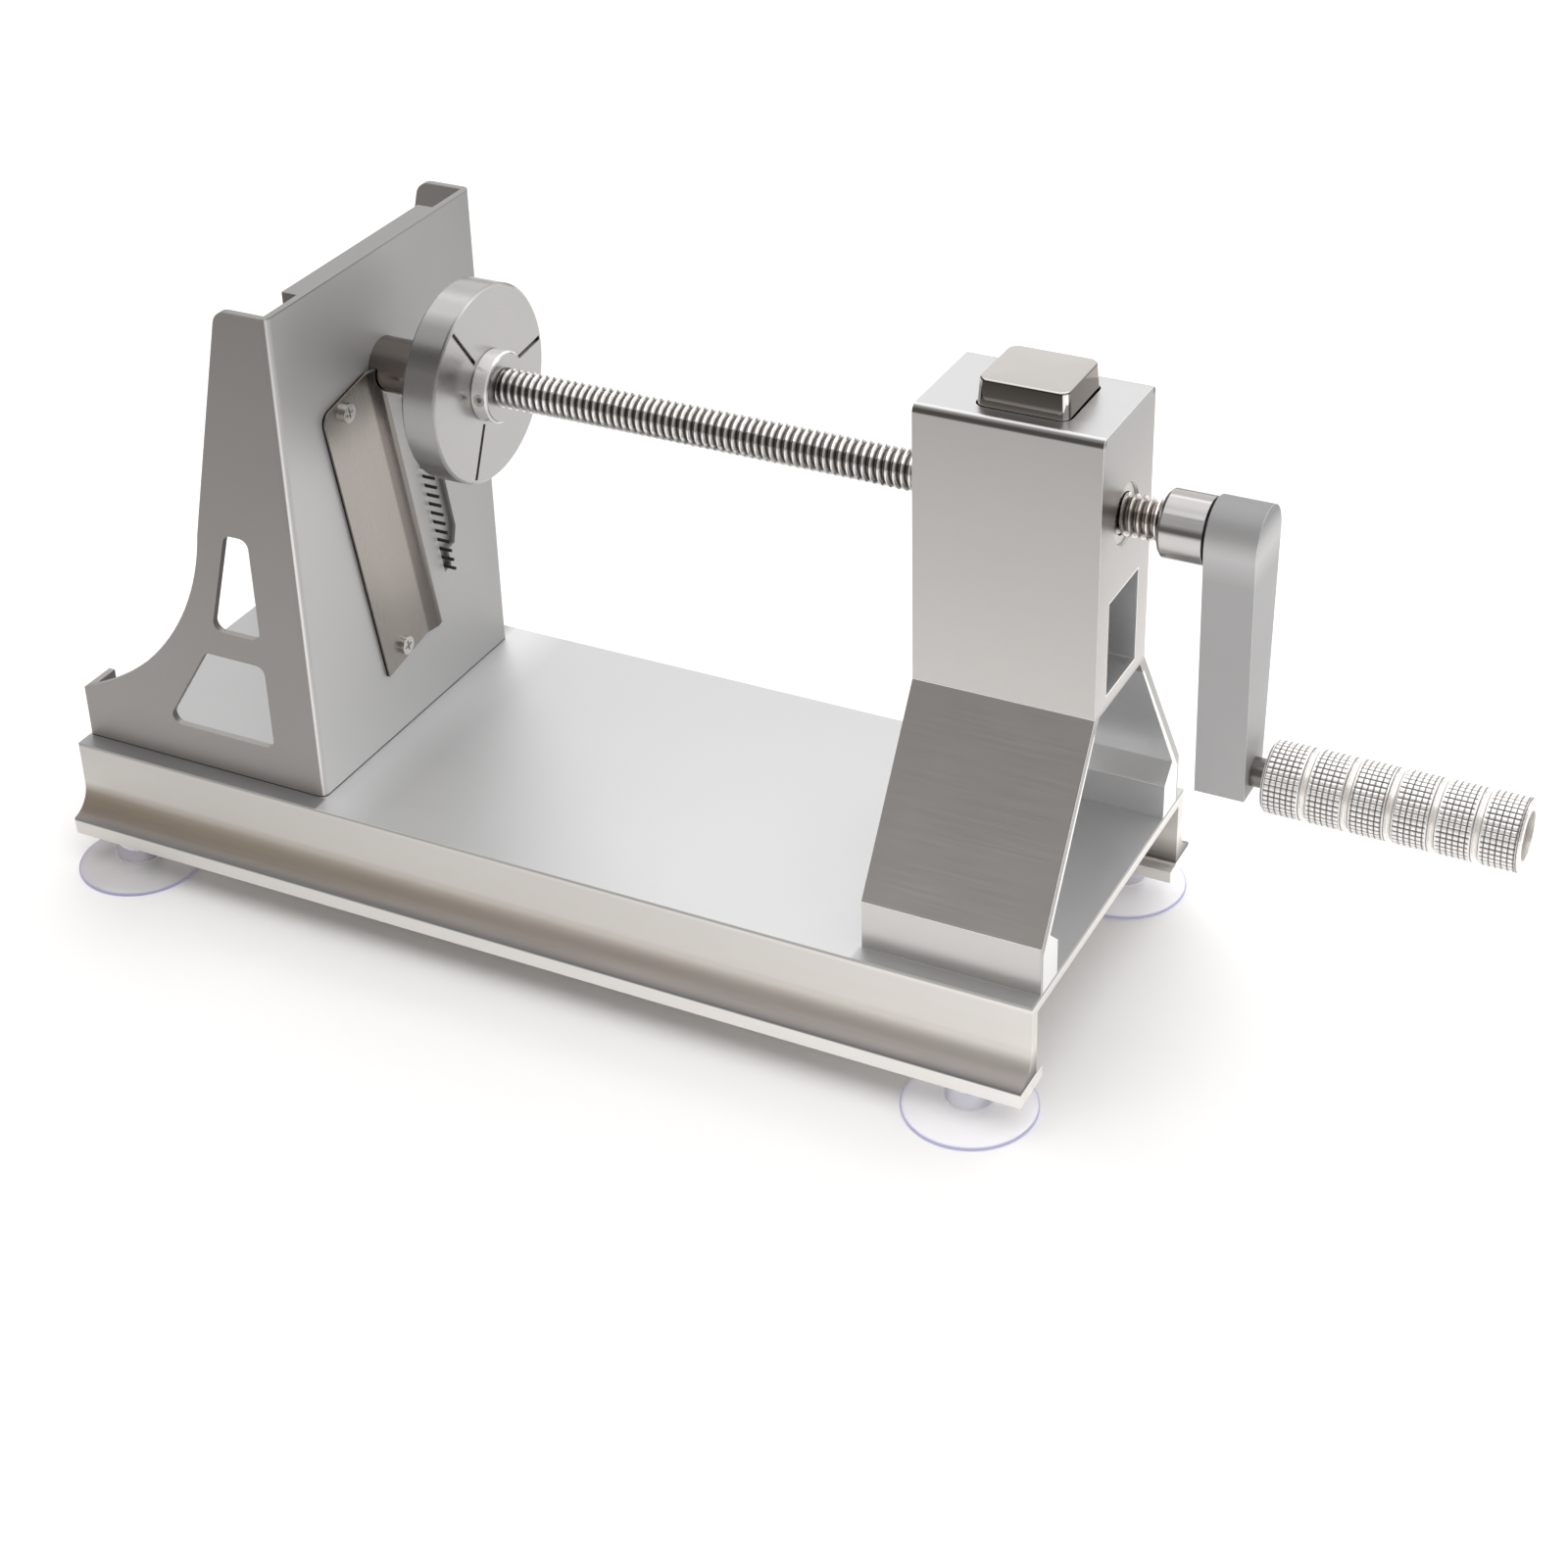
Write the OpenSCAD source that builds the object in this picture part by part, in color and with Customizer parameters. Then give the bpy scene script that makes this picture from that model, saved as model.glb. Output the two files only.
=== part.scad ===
// Hand-cranked spiral slicer for potatoes: a lead screw pushes and turns the potato against a blade.
// Millimetres, +Z up. The screw runs along X with the crank at +X, and z = 0 is the table under the cups.

/* [Base] */
// Length of the base along the screw
base_length = 330; // [310:1:380]
// Width of the flat top of the base
base_top_width = 121; // [117:1:140]
// Height of the base from the lips' underside to its top
base_height = 30; // [27:0.5:38]
// How far each lip stands out past the top edge
lip_overhang = 7.5; // [5:0.5:10]
// Height of the lip's upright face
lip_height = 5.5; // [4:0.5:7]
// Radius of the hollow cove above each lip
cove_radius = 9; // [7:0.5:11]
// Thickness of the base's top and skirts
base_wall = 4; // [3:0.5:5]
// Width of the rail under each skirt, inwards from the lip's face
rail_width = 16; // [15:0.5:18]

/* [Suction cups] */
// Diameter of a suction cup's rim
cup_diameter = 40; // [32:1:46]
// Height of the base's underside over the table
cup_height = 10.5; // [9.5:0.5:16]
// Distance from an end of the base to a cup's middle
cup_inset = 18.5; // [16:0.5:30]
// Diameter of the metal collar between cup and base
cup_collar_diameter = 14.5; // [12:0.5:16]
// Diameter of the stud in the base
stud_diameter = 6; // [5:0.5:7]

/* [Blade frame] */
// Distance from the left end of the base to the face of the blade plate
plate_setback = 91; // [86:1:100]
// Width over the frame's side wings
frame_width = 109; // [104:1:114]
// Height of the frame over the base
frame_height = 161.5; // [155:0.5:180]
// Thickness of the frame's sheet metal
sheet = 2.2; // [1.6:0.1:3]
// Inner radius of the bends between plate and wings
inner_bend = 0.4; // [0.2:0.2:2]
// Depth of a wing at its top
ear_depth = 18; // [16:0.5:24]
// Depth of a wing at the knee above its flared foot
knee_depth = 35.5; // [34:0.5:38]
// Height of that knee over the base
knee_height = 85; // [82:0.5:92]
// Radius of the flared foot's hollow edge
flare_radius = 83; // [80:1:100]
// Height of a wing's rear end
foot_height = 18; // [15:0.5:22]
// Width of the tabs that turn in at the wings' rear and bottom
tab_width = 10.5; // [10:0.5:14]
// Length of the folded rail behind the plate's top edge
top_rail_length = 72; // [60:1:80]
// Depth of that rail
top_rail_depth = 7.5; // [6:0.5:10]

/* [Blade] */
// Lean of the blade from upright, in degrees
blade_lean = 11; // [8:0.5:14]
// Length of the blade
blade_length = 101; // [94:1:104]
// Width of the blade's flat
blade_flat = 23; // [20:0.5:25]
// Width of the raised cutting strip
blade_strip = 6.7; // [5:0.1:8]
// Angle of the cutting strip off the flat, in degrees
strip_angle = 25; // [15:1:30]
// Thickness of the blade
blade_thickness = 1.2; // [0.8:0.1:1.6]
// Distance from each end of the blade to its screw
blade_screw_inset = 5; // [4:0.5:8]
// Number of comb teeth
comb_teeth = 20; // [16:1:22]
// How far the comb teeth stand out of the plate
comb_reach = 4; // [3:0.5:5.5]
// Diameter of the corer tube
corer_diameter = 17; // [15:0.5:18]
// Wall of the corer tube
corer_wall = 1.2; // [0.8:0.1:1.6]
// How far the corer stands out of the plate
corer_reach = 14; // [10:0.5:15]

/* [Post] */
// Length of the post along the screw
post_length = 55; // [50:1:60]
// Width of the post's column
post_top_width = 38.5; // [36:0.5:42]
// Height of the post over the base
post_height = 155.5; // [145:0.5:165]
// Height of the straight column over its spread legs
column_height = 85.5; // [84:0.5:90]
// Height of the post's upright feet
post_foot_height = 15.8; // [14:0.2:18]
// Wall of the post's spread legs, measured across
post_wall = 5; // [4:0.2:6]
// Width of a post foot
post_foot_width = 12; // [11:0.5:13]
// Width of the window through the column
window_width = 22; // [18:0.5:24]
// Height of that window
window_height = 29; // [24:0.5:30]
// Radius of the column's upper edges
post_edge_radius = 2.5; // [1:0.5:3]

/* [Feed screw] */
// Depth of the screw's axis under the post's top
axis_depth = 30.5; // [28:0.5:32]
// Diameter over the screw's crests
screw_diameter = 12; // [11:0.25:12.5]
// Advance of the screw for each turn
thread_pitch = 2.4; // [2.2:0.1:2.8]
// Depth of the screw's thread
thread_depth = 1.2; // [1:0.05:1.3]
// Turns from the fully advanced to the fully drawn back screw
feed_turns = 54; // [40:1:54]
// Diameter of the plain spigot in the screw's end
spigot_diameter = 7; // [6:0.25:7.5]
// Radial clearance between screw and half nut
thread_clearance = 0.35; // [0.3:0.05:0.45]
// Outer diameter of the bushes that guide the screw
bush_diameter = 17; // [16:0.5:18]

/* [Pusher disc] */
// Diameter of the pusher disc
disc_diameter = 61; // [50:1:64]
// Thickness of the pusher disc
disc_thickness = 11.5; // [10:0.5:13]
// Space between the plate and the disc when it is fully advanced
disc_gap = 26; // [25:0.5:32]
// Diameter of the disc's hub
hub_diameter = 22; // [20:0.5:24]
// Length of the hub
hub_length = 5.5; // [5:0.5:9]
// How far the gripping fins stand out of the disc
fin_reach = 6; // [5:0.5:8]
// Thickness of a fin
fin_thickness = 1.2; // [0.8:0.1:2]

/* [Release] */
// Size of the button along the screw
button_length = 27; // [25:0.5:28]
// Size of the button across the screw
button_width = 25; // [22:0.5:26]
// How far the button stands out of the post
button_proud = 8; // [6:0.5:9]
// Travel that frees the screw from its half nut
release_travel = 3.5; // [3.2:0.1:3.8]
// Length of the nut carrier along the screw
carrier_length = 21; // [19:0.5:22]
// Width of the nut carrier
carrier_width = 20; // [19.5:0.5:21]
// Outer diameter of the return springs
spring_diameter = 5; // [4:0.25:5.5]
// Wire of the return springs
spring_wire = 0.7; // [0.5:0.05:0.8]
// Curls in a return spring
spring_curls = 6; // [4:1:6]

/* [Crank] */
// Space between post and collar when the screw is fully advanced
collar_gap = 11.5; // [8:0.5:16]
// Length of the collar
collar_length = 13; // [10:0.5:16]
// Diameter of the collar
collar_diameter = 19.5; // [16:0.5:22]
// Thickness of the washer between collar and arm
thrust_washer_thickness = 1; // [0.8:0.1:1.5]
// Size of the crank arm along the screw
arm_thickness = 14.5; // [13:0.5:17]
// Radius of the arm's round top
arm_top_radius = 10.5; // [9.5:0.25:11.5]
// Half the arm's width at its lower end
arm_tip_half_width = 7.3; // [6.5:0.1:8.5]
// Distance from the screw's axis to the grip's axis
crank_radius = 72; // [65:1:80]
// Distance from the grip's axis to the arm's lower end
arm_tip_margin = 6; // [5.5:0.25:8]

/* [Grip] */
// Length of the grip
grip_length = 71.5; // [62:0.5:85]
// Diameter of the grip
grip_diameter = 21; // [19:0.5:24]
// Space between arm and grip
grip_gap = 5; // [3:0.5:8]
// Number of grooves round the grip
grip_grooves = 5; // [3:1:6]
// Width of a groove
groove_width = 3.2; // [1.5:0.1:4]
// Depth of a groove
groove_depth = 1.1; // [0.6:0.1:1.6]
// Diameter of the axle's journal in the grip
journal_diameter = 6.5; // [6:0.25:7.5]
// Diameter of the axle's shoulder between arm and grip
shoulder_diameter = 8.5; // [8:0.25:10]

/* [Hidden] */
$fn = 64;
// Clearances: a fixed fit, a running fit, a sliding fit and a loose one
fixed_fit = 0.02;
running_fit = 0.05;
sliding_fit = 0.3;
loose_fit = 0.5;
// A cut that runs past both faces of what it cuts
past = 1;

// Heights of the base
base_bottom = cup_height;
base_top = base_bottom + base_height;
half_top = base_top_width/2;
half_base = half_top + lip_overhang;
half_frame = frame_width/2;
axis_height = post_height - axis_depth;
axis_z = base_top + axis_height;

// Places along X, counted from the left end of the base
plate_x = plate_setback;
disc_back_x = plate_x + disc_gap;
disc_front_x = disc_back_x + disc_thickness;
hub_end_x = disc_front_x + hub_length;
post_x = base_length - post_length;
post_mid_x = post_x + post_length/2;
collar_x = base_length + collar_gap;
washer_x = collar_x + collar_length;
arm_x = washer_x + thrust_washer_thickness;
arm_end_x = arm_x + arm_thickness;
grip_x = arm_end_x + grip_gap;
grip_end_x = grip_x + grip_length;
// The origin lies in the middle of the whole object, whose left end may be a cup's rim
left_end_x = min(0, cup_inset - cup_diameter/2);
mid_x = (left_end_x + grip_end_x)/2;

// Fasteners: the shank and head of the hidden screws, then of the blade screws
fixing_shank = 4;
fixing_head = 7;
fixing_head_height = 2.6;
blade_screw_shank = 3.5;
blade_screw_head = 6;
blade_screw_head_height = 1.6;
set_screw_diameter = 4;
set_screw_sink = 0.3;
set_screw_tip_gap = 0.1;
set_screw_socket = [2, 1.5];

// Suction cups
cup_rim_height = 1;
cup_rim_width = 1.5;
cup_dome_height = 3.5;
cup_neck_radius = cup_collar_diameter/2 + 1;
cup_neck_height = 0.8;
cup_hollow = 1.2;
cup_socket = 1.3;
stud_foot = 1;
cup_y = half_top;
stud_depth = lip_height + 0.5;

bend_radius = sheet + inner_bend;
// The wing's flared foot is cut by a circle through its knee and its rear end
foot_x = 1;
knee = [plate_x - knee_depth, knee_height];
heel = [foot_x, foot_height];
flare_chord = norm(knee - heel);
flare_rise = sqrt(flare_radius*flare_radius - flare_chord*flare_chord/4);
flare_centre = (knee + heel)/2 + flare_rise/flare_chord*[heel.y - knee.y, knee.x - heel.x];
ear_x = plate_x - ear_depth;
ear_radius = 5;
// Two windows with upright front edges: the upper one starts just over the knee
window_margin = 17;
window_radius = 3;
upper_window_rise = 2;
upper_window_height = 35;
upper_window_top = 8.5;
upper_window_foot = 18;
window_bar = 9;
lower_window_height = 29.5;
lower_window_top = 22;
lower_window_foot = 41;
// Screws in the bottom tabs, from the base's left end and from the plate
frame_fixing_rear = 22;
frame_fixing_front = 18;
top_rail_lip = 8;

// The blade's own frame: u across it, v along it. The blade's top end is level with the axis.
blade_y = -15;
blade_z = axis_z - blade_length/2;
corer_v = blade_y*sin(blade_lean) + blade_length/2*cos(blade_lean);
strip_u = blade_flat/2 + 1;
flat_u = strip_u - blade_flat;
blade_corner_radius = 4;
throat_width = 7;
throat_margin = 4;
throat_gap = 0.5;
comb_u = 29.5;
comb_slot_width = 10.5;
comb_slit_width = 4;
comb_slot_step = 6;
comb_slot_corner = 2.5;
comb_tooth_width = 1.1;
comb_back_margin = 1.5;
comb_back_width = comb_slot_width + 2*comb_back_margin;
comb_back_thickness = 1.5;
comb_low_margin = 11.5;
comb_end = 2;
comb_gap = 0.4;
corer_radius = corer_diameter/2;
corer_flange = 2;
corer_flange_thickness = 1.5;
// The comb ends under the corer's flange, and its teeth and gaps share the slot
comb_slot_low = comb_low_margin - blade_length/2;
comb_slot_high = corer_v - corer_radius - corer_flange - comb_end - loose_fit;
comb_pitch = (comb_slot_high - comb_slot_low)/comb_teeth;
comb_tooth = 0.22*comb_pitch;

// The post's section
flare_top = post_height - column_height;
half_column = post_top_width/2;
leg_inner_top = half_column - post_wall/1.5;
tunnel_top = flare_top - 1;
foot_inner = half_frame - post_foot_width;
foot_chamfer = 5.5;
foot_inner_height = post_foot_height - 4.3;
bush_recess = 0.8;
bush_play = 0.2;
bore_chamfer = 0.6;
well_gap = 0.4;

// Release: the carrier slides in a shaft in the post
carrier_depth = 15;
carrier_spare = 1;
carrier_bottom = axis_z - carrier_depth;
carrier_top = base_top + post_height - 8.5;
shaft_floor = carrier_bottom - release_travel - carrier_spare;
shaft_radius = 1;
carrier_radius = 0.8;
button_well_floor = carrier_top - release_travel - 2*sliding_fit;
button_radius = 3;
button_shift = 1.2;
button_x = post_mid_x + button_shift;
button_spigot_diameter = 8;
button_spigot = 5;
nut_seat_radius = screw_diameter/2 + 2;
nut_wall_radius = nut_seat_radius - 0.1;
nut_slot_radius = screw_diameter/2 + 0.8;
spring_offset = carrier_length/2 - 4.5;
spring_pocket = 5;
spring_seat = 0.05;
spring_top = carrier_bottom + spring_pocket;
// The window through the column ends under the carrier's shaft
window_roof = 3;
window_bottom = shaft_floor - base_top - window_roof - window_height;

// Feed screw: the thread runs from inside the hub to the collar, in whole turns
thread_segments = 12;
hub_bore_depth = 8;
crest_radius = screw_diameter/2;
root_radius = crest_radius - thread_depth;
thread_turns = floor((collar_x - sliding_fit - hub_end_x + hub_bore_depth - sliding_fit)/thread_pitch) - 1;
thread_end_x = collar_x - sliding_fit;
thread_start_x = thread_end_x - (thread_turns + 1)*thread_pitch;
hub_bore_end_x = thread_start_x - sliding_fit;
// The spigot's depth in the screw and in the arm
spigot_depth = 12;
spigot_reach = 10;
nut_turns = 7;
nut_first_angle = 195;
nut_segments = 5;

// Fins
fin_turn = 6.5;
fin_count = 3;
fin_inner = 12;
fin_outer = disc_diameter/2 - 1.5;
fin_recess = 1;
fin_gap = 0.1;
disc_chamfer = 0.8;

// Crank and grip
thrust_washer_inset = 1.2;
arm_bottom = -crank_radius - arm_tip_margin;
grip_z = axis_z - crank_radius;
axle_depth = 11;
grip_recess_diameter = 14;
grip_recess_depth = 5;
grip_washer_thickness = 1;
grip_screw_head = 8;
grip_screw_head_height = 2.5;
grip_screw_shank = 3.5;
grip_screw_depth = 12;

// Places a child at a distance from the left end of the base
module at(x, y = 0, z = 0) {
    translate([x - mid_x, y, z]) children();
}

// A round bar along X
module bar(radius, length) {
    rotate([0, 90, 0]) cylinder(r = radius, h = length);
}

// A section drawn in Y and Z, drawn out along X
module along_x(length) {
    rotate([90, 0, 90]) linear_extrude(length) children();
}

// A section drawn in X and Z, drawn out along Y over a width
module along_y(y, width) {
    translate([0, y + width, 0]) rotate([90, 0, 0]) linear_extrude(width) children();
}

// A block with upright round corners, its middle at the origin's foot
module round_block(length, width, height, radius) {
    translate([-length/2, -width/2 + radius, 0]) cube([length, width - 2*radius, height]);
    translate([-length/2 + radius, -width/2, 0]) cube([length - 2*radius, width, height]);
    for (x = [-1, 1], y = [-1, 1])
        translate([x*(length/2 - radius), y*(width/2 - radius), 0]) cylinder(r = radius, h = height);
}

// The corners of a polygon, each rounded by an arc of a few steps
function unit(v) = v/norm(v);
function corner_arc(a, b, c, radius, steps = 6) =
    let (
        p = unit(a - b),
        q = unit(c - b),
        half = acos(p*q)/2,
        centre = b + unit(p + q)*radius/sin(half),
        from = b + p*radius/tan(half) - centre,
        to = b + q*radius/tan(half) - centre,
        start = atan2(from.y, from.x),
        turn = atan2(from.x*to.y - from.y*to.x, from*to)
    )
    [for (k = [0:steps]) centre + radius*[cos(start + turn*k/steps), sin(start + turn*k/steps)]];
function rounded(points, radius) =
    let (n = len(points))
    [for (i = [0:n - 1]) each corner_arc(points[(i + n - 1) % n], points[i], points[(i + 1) % n], radius)];

// Places of the hidden fixings: frame on base, post on base
frame_fixing_y = half_frame - sheet - tab_width/2;
module frame_fixings() {
    for (x = [frame_fixing_rear, plate_x - frame_fixing_front], y = [-1, 1])
        at(x, y*frame_fixing_y, base_top) children();
}

post_fixing_y = half_frame - post_foot_width/2;
module post_fixings() {
    for (x = [0.25, 0.75], y = [-1, 1])
        at(post_x + x*post_length, y*post_fixing_y, base_top) children();
}

module cup_places() {
    for (x = [cup_inset, base_length - cup_inset], y = [-1, 1])
        at(x, y*cup_y, 0) children();
}

// Base: an open channel with coved skirts and a rail under each skirt
module base_extrusion() {
    rail_inner = half_base - rail_width;
    skirt_inner = half_top - base_wall;
    cove_z = base_bottom + lip_height + cove_radius;
    color("silver") difference() {
        union() {
            at(0, -half_top, base_bottom) cube([base_length, base_top_width, base_height]);
            at(0, -half_base, base_bottom) cube([base_length, 2*half_base, lip_height + cove_radius]);
        }
        for (side = [-1, 1])
            at(-past, side*(half_top + cove_radius), cove_z) bar(cove_radius, base_length + 2*past);
        at(-past, -skirt_inner, base_bottom + base_wall)
            cube([base_length + 2*past, 2*skirt_inner, base_height - 2*base_wall]);
        at(-past, -rail_inner, base_bottom - past)
            cube([base_length + 2*past, 2*rail_inner, base_wall + 2*past]);
        cup_places() translate([0, 0, base_bottom - past])
            cylinder(d = stud_diameter + 2*fixed_fit, h = stud_depth + past + sliding_fit);
        frame_fixings() translate([0, 0, -base_wall - past])
            cylinder(d = fixing_shank + loose_fit, h = base_wall + 2*past);
        post_fixings() translate([0, 0, -base_wall - past])
            cylinder(d = fixing_shank + loose_fit, h = base_wall + 2*past);
    }
}

// Suction cups: thin skirts with a shallow hollow, each with a socket for its stud
module suction_cups() {
    radius = cup_diameter/2;
    inner = radius - cup_rim_width;
    neck = cup_neck_radius;
    color("lavender") cup_places() difference() {
        rotate_extrude() polygon([[0, 0], [radius, 0], [radius, cup_rim_height],
            [neck, cup_dome_height - cup_neck_height], [neck, cup_dome_height], [0, cup_dome_height]]);
        translate([0, 0, -past]) rotate_extrude()
            polygon([[0, 0], [inner, 0], [inner, past], [neck, past + cup_hollow], [0, past + cup_hollow]]);
        translate([0, 0, cup_dome_height - cup_socket])
            cylinder(d = stud_diameter + 2*fixed_fit, h = cup_socket + past);
    }
}

// Studs: a round collar on the cup and a shank up into the skirt
module cup_studs() {
    color("gainsboro") cup_places() {
        translate([0, 0, cup_dome_height])
            cylinder(d = cup_collar_diameter, h = base_bottom - cup_dome_height);
        translate([0, 0, cup_dome_height - stud_foot])
            cylinder(d = stud_diameter, h = base_bottom - cup_dome_height + stud_foot + stud_depth);
    }
}

// One wing's outline in X and Z over the base
module wing_outline() {
    difference() {
        polygon(concat([[foot_x, 0], [plate_x - bend_radius, 0], [plate_x - bend_radius, frame_height]],
            corner_arc([plate_x, frame_height], [ear_x, frame_height], knee, ear_radius),
            [knee, [foot_x, knee.y]]));
        translate(flare_centre) circle(r = flare_radius, $fn = 180);
    }
}

// The two windows of a wing follow its rear edge
module wing_windows() {
    upper_z = knee_height + upper_window_rise;
    lower_z = upper_z - upper_window_height - window_bar;
    window(upper_z, upper_window_height, upper_window_top, upper_window_foot);
    window(lower_z, lower_window_height, lower_window_top, lower_window_foot);
}

// A window with an upright front edge, wider at its foot
module window(top, height, top_width, foot_width) {
    front = plate_x - window_margin;
    polygon(rounded([[front, top], [front - top_width, top], [front - foot_width, top - height],
        [front, top - height]], window_radius));
}

// Sets its children in the blade's own frame: local y across the blade, local z along it, x off the plate
module on_blade() {
    at(plate_x, blade_y, blade_z) rotate([blade_lean, 0, 0]) children();
}

// An opening through the plate in the blade's frame
module plate_cut(points) {
    on_blade() translate([-sheet - past, 0, 0]) along_x(sheet + 2*past) polygon(points);
}

// The throat beside the cutting strip
module throat() {
    left = strip_u + throat_gap;
    right = left + throat_width;
    low = throat_margin - blade_length/2;
    plate_cut([[left, low], [right, low], [right, comb_slot_high], [left, comb_slot_high]]);
}

// The comb's slot: a slit for its teeth, wider from a step upwards
module comb_slot() {
    slit = comb_u + comb_slit_width;
    right = comb_u + comb_slot_width;
    step = comb_slot_low + comb_slot_step;
    plate_cut([[comb_u, comb_slot_low], [slit, comb_slot_low], [slit, step], [right - comb_slot_corner, step],
        [right, step + 2*comb_slot_corner], [right, comb_slot_high], [comb_u, comb_slot_high]]);
}

// Frame: one bent sheet with a front plate, two wings, turned-in tabs and a folded top rail
module blade_frame() {
    inner = half_frame - sheet;
    color("lightgray") difference() {
        union() {
            at(plate_x - sheet, -half_frame + bend_radius, base_top)
                cube([sheet, frame_width - 2*bend_radius, frame_height]);
            for (side = [-1, 1]) {
                at(0, 0, base_top) along_y(side > 0 ? inner : -half_frame, sheet) difference() {
                    wing_outline();
                    wing_windows();
                }
                at(plate_x - bend_radius, side*(half_frame - bend_radius), base_top) intersection() {
                    difference() {
                        cylinder(r = bend_radius, h = frame_height);
                        translate([0, 0, -past]) cylinder(r = bend_radius - sheet, h = frame_height + 2*past);
                    }
                    translate([0, side > 0 ? 0 : -bend_radius, 0])
                        cube([bend_radius, bend_radius, frame_height]);
                }
                at(foot_x, side > 0 ? inner - tab_width : -inner, base_top) {
                    cube([sheet, tab_width, foot_height]);
                    cube([plate_x - sheet - bend_radius - foot_x, tab_width, sheet]);
                }
            }
            at(plate_x - top_rail_depth, -top_rail_length/2, base_top + frame_height - sheet)
                cube([top_rail_depth, top_rail_length, sheet]);
            at(plate_x - top_rail_depth, -top_rail_length/2, base_top + frame_height - top_rail_lip)
                cube([sheet, top_rail_length, top_rail_lip]);
        }
        at(plate_x - sheet - past, 0, axis_z) bar(corer_radius + running_fit, sheet + 2*past);
        throat();
        comb_slot();
        blade_screw_places() translate([-sheet - past, 0, 0])
            bar(blade_screw_shank/2 + fixed_fit, sheet + 2*past);
        frame_fixings() translate([0, 0, -past]) cylinder(d = fixing_shank + 2*fixed_fit, h = sheet + 2*past);
    }
}

// Screws from under the base up into the frame's bottom tabs
module fixing_screw(length) {
    translate([0, 0, -base_wall - fixing_head_height]) cylinder(d = fixing_head, h = fixing_head_height);
    translate([0, 0, -base_wall - fixing_head_height/2])
        cylinder(d = fixing_shank, h = base_wall + fixing_head_height/2 + length);
}

module frame_screws() {
    color("dimgray") frame_fixings() fixing_screw(sheet);
}

module blade_screw_places() {
    for (v = [-1, 1]) on_blade() translate([0, 0, v*(blade_length/2 - blade_screw_inset)]) children();
}

// Blade: a flat with a raised cutting strip, cut away round the corer
module slicing_blade() {
    low = -blade_length/2;
    high = blade_length/2;
    along = [sin(strip_angle), cos(strip_angle)];
    outward = [cos(strip_angle), -sin(strip_angle)];
    edge_thickness = 0.25;
    edge_bevel = 2;
    color("tan") difference() {
        on_blade() translate([0, 0, low]) linear_extrude(blade_length) polygon([[0, flat_u], [0, strip_u],
            [0, strip_u] + blade_strip*along, [0, strip_u] + blade_strip*along + edge_thickness*outward,
            [0, strip_u] + (blade_strip - edge_bevel)*along + blade_thickness*outward,
            [blade_thickness, strip_u - blade_thickness*tan(strip_angle/2)], [blade_thickness, flat_u]]);
        on_blade() translate([-past, flat_u, high]) rotate([0, 90, 0]) difference() {
            translate([-past, -past, 0])
                cube([blade_corner_radius + past, blade_corner_radius + past, 4*past]);
            translate([blade_corner_radius, blade_corner_radius, -past])
                cylinder(r = blade_corner_radius, h = 6*past);
        }
        at(plate_x - past, 0, axis_z) bar(corer_radius + loose_fit, corer_reach + past);
        blade_screw_places() translate([-past, 0, 0])
            bar(blade_screw_shank/2 + running_fit, blade_thickness + 2*past);
    }
}

module blade_screws() {
    recess = 0.8;
    cross = [3.6, 0.8];
    color("gainsboro") blade_screw_places() difference() {
        union() {
            translate([blade_thickness, 0, 0]) bar(blade_screw_head/2, blade_screw_head_height);
            translate([-sheet, 0, 0]) bar(blade_screw_shank/2, sheet + blade_thickness + recess);
        }
        for (turn = [0, 90]) translate([blade_thickness + blade_screw_head_height - recess, 0, 0])
            rotate([turn, 0, 0]) translate([0, -cross.x/2, -cross.y/2])
                cube([recess + past, cross.x, cross.y]);
    }
}

// Comb: a back strip behind the plate with scoring teeth that reach out through the slot
module comb_blade() {
    first_v = comb_slot_low + (comb_pitch - comb_tooth)/2;
    color("slategray") on_blade() {
        translate([-sheet - comb_back_thickness, comb_u - comb_back_margin, comb_slot_low - comb_end])
            cube([comb_back_thickness, comb_back_width, comb_slot_high - comb_slot_low + 2*comb_end]);
        for (i = [0:comb_teeth - 1])
            translate([-sheet - comb_back_thickness/2, comb_u + comb_gap, first_v + comb_pitch*i])
                cube([comb_back_thickness/2 + sheet + comb_reach, comb_tooth_width - comb_gap, comb_tooth]);
    }
}

// Corer: a tube on the screw's axis with a flange behind the plate
module corer_tube() {
    color("saddlebrown") difference() {
        union() {
            at(plate_x - sheet - corer_flange_thickness, 0, axis_z)
                bar(corer_radius, sheet + corer_flange_thickness + corer_reach);
            at(plate_x - sheet - corer_flange_thickness, 0, axis_z)
                bar(corer_radius + corer_flange, corer_flange_thickness);
        }
        at(plate_x - sheet - corer_flange_thickness - past, 0, axis_z)
            bar(corer_radius - corer_wall, sheet + corer_flange_thickness + corer_reach + 2*past);
    }
}

// The post's outer section over the base
module post_outline() {
    knees = [[half_column, flare_top], [-half_column, flare_top]];
    tops = [[half_column, post_height], [-half_column, post_height]];
    polygon(concat([[half_frame, 0], [half_frame, post_foot_height], knees[0]],
        corner_arc(knees[0], tops[0], tops[1], post_edge_radius),
        corner_arc(tops[0], tops[1], knees[1], post_edge_radius),
        [knees[1], [-half_frame, post_foot_height], [-half_frame, 0]]));
}

// The tunnel under the post's legs
module post_tunnel() {
    leg_foot = half_frame - post_wall*1.2;
    half = [[foot_inner, -past], [foot_inner, foot_inner_height],
        [leg_foot, foot_inner_height + foot_chamfer], [leg_inner_top, tunnel_top]];
    polygon(concat(half, [for (i = [3:-1:0]) [-half[i].x, half[i].y]]));
}

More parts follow.
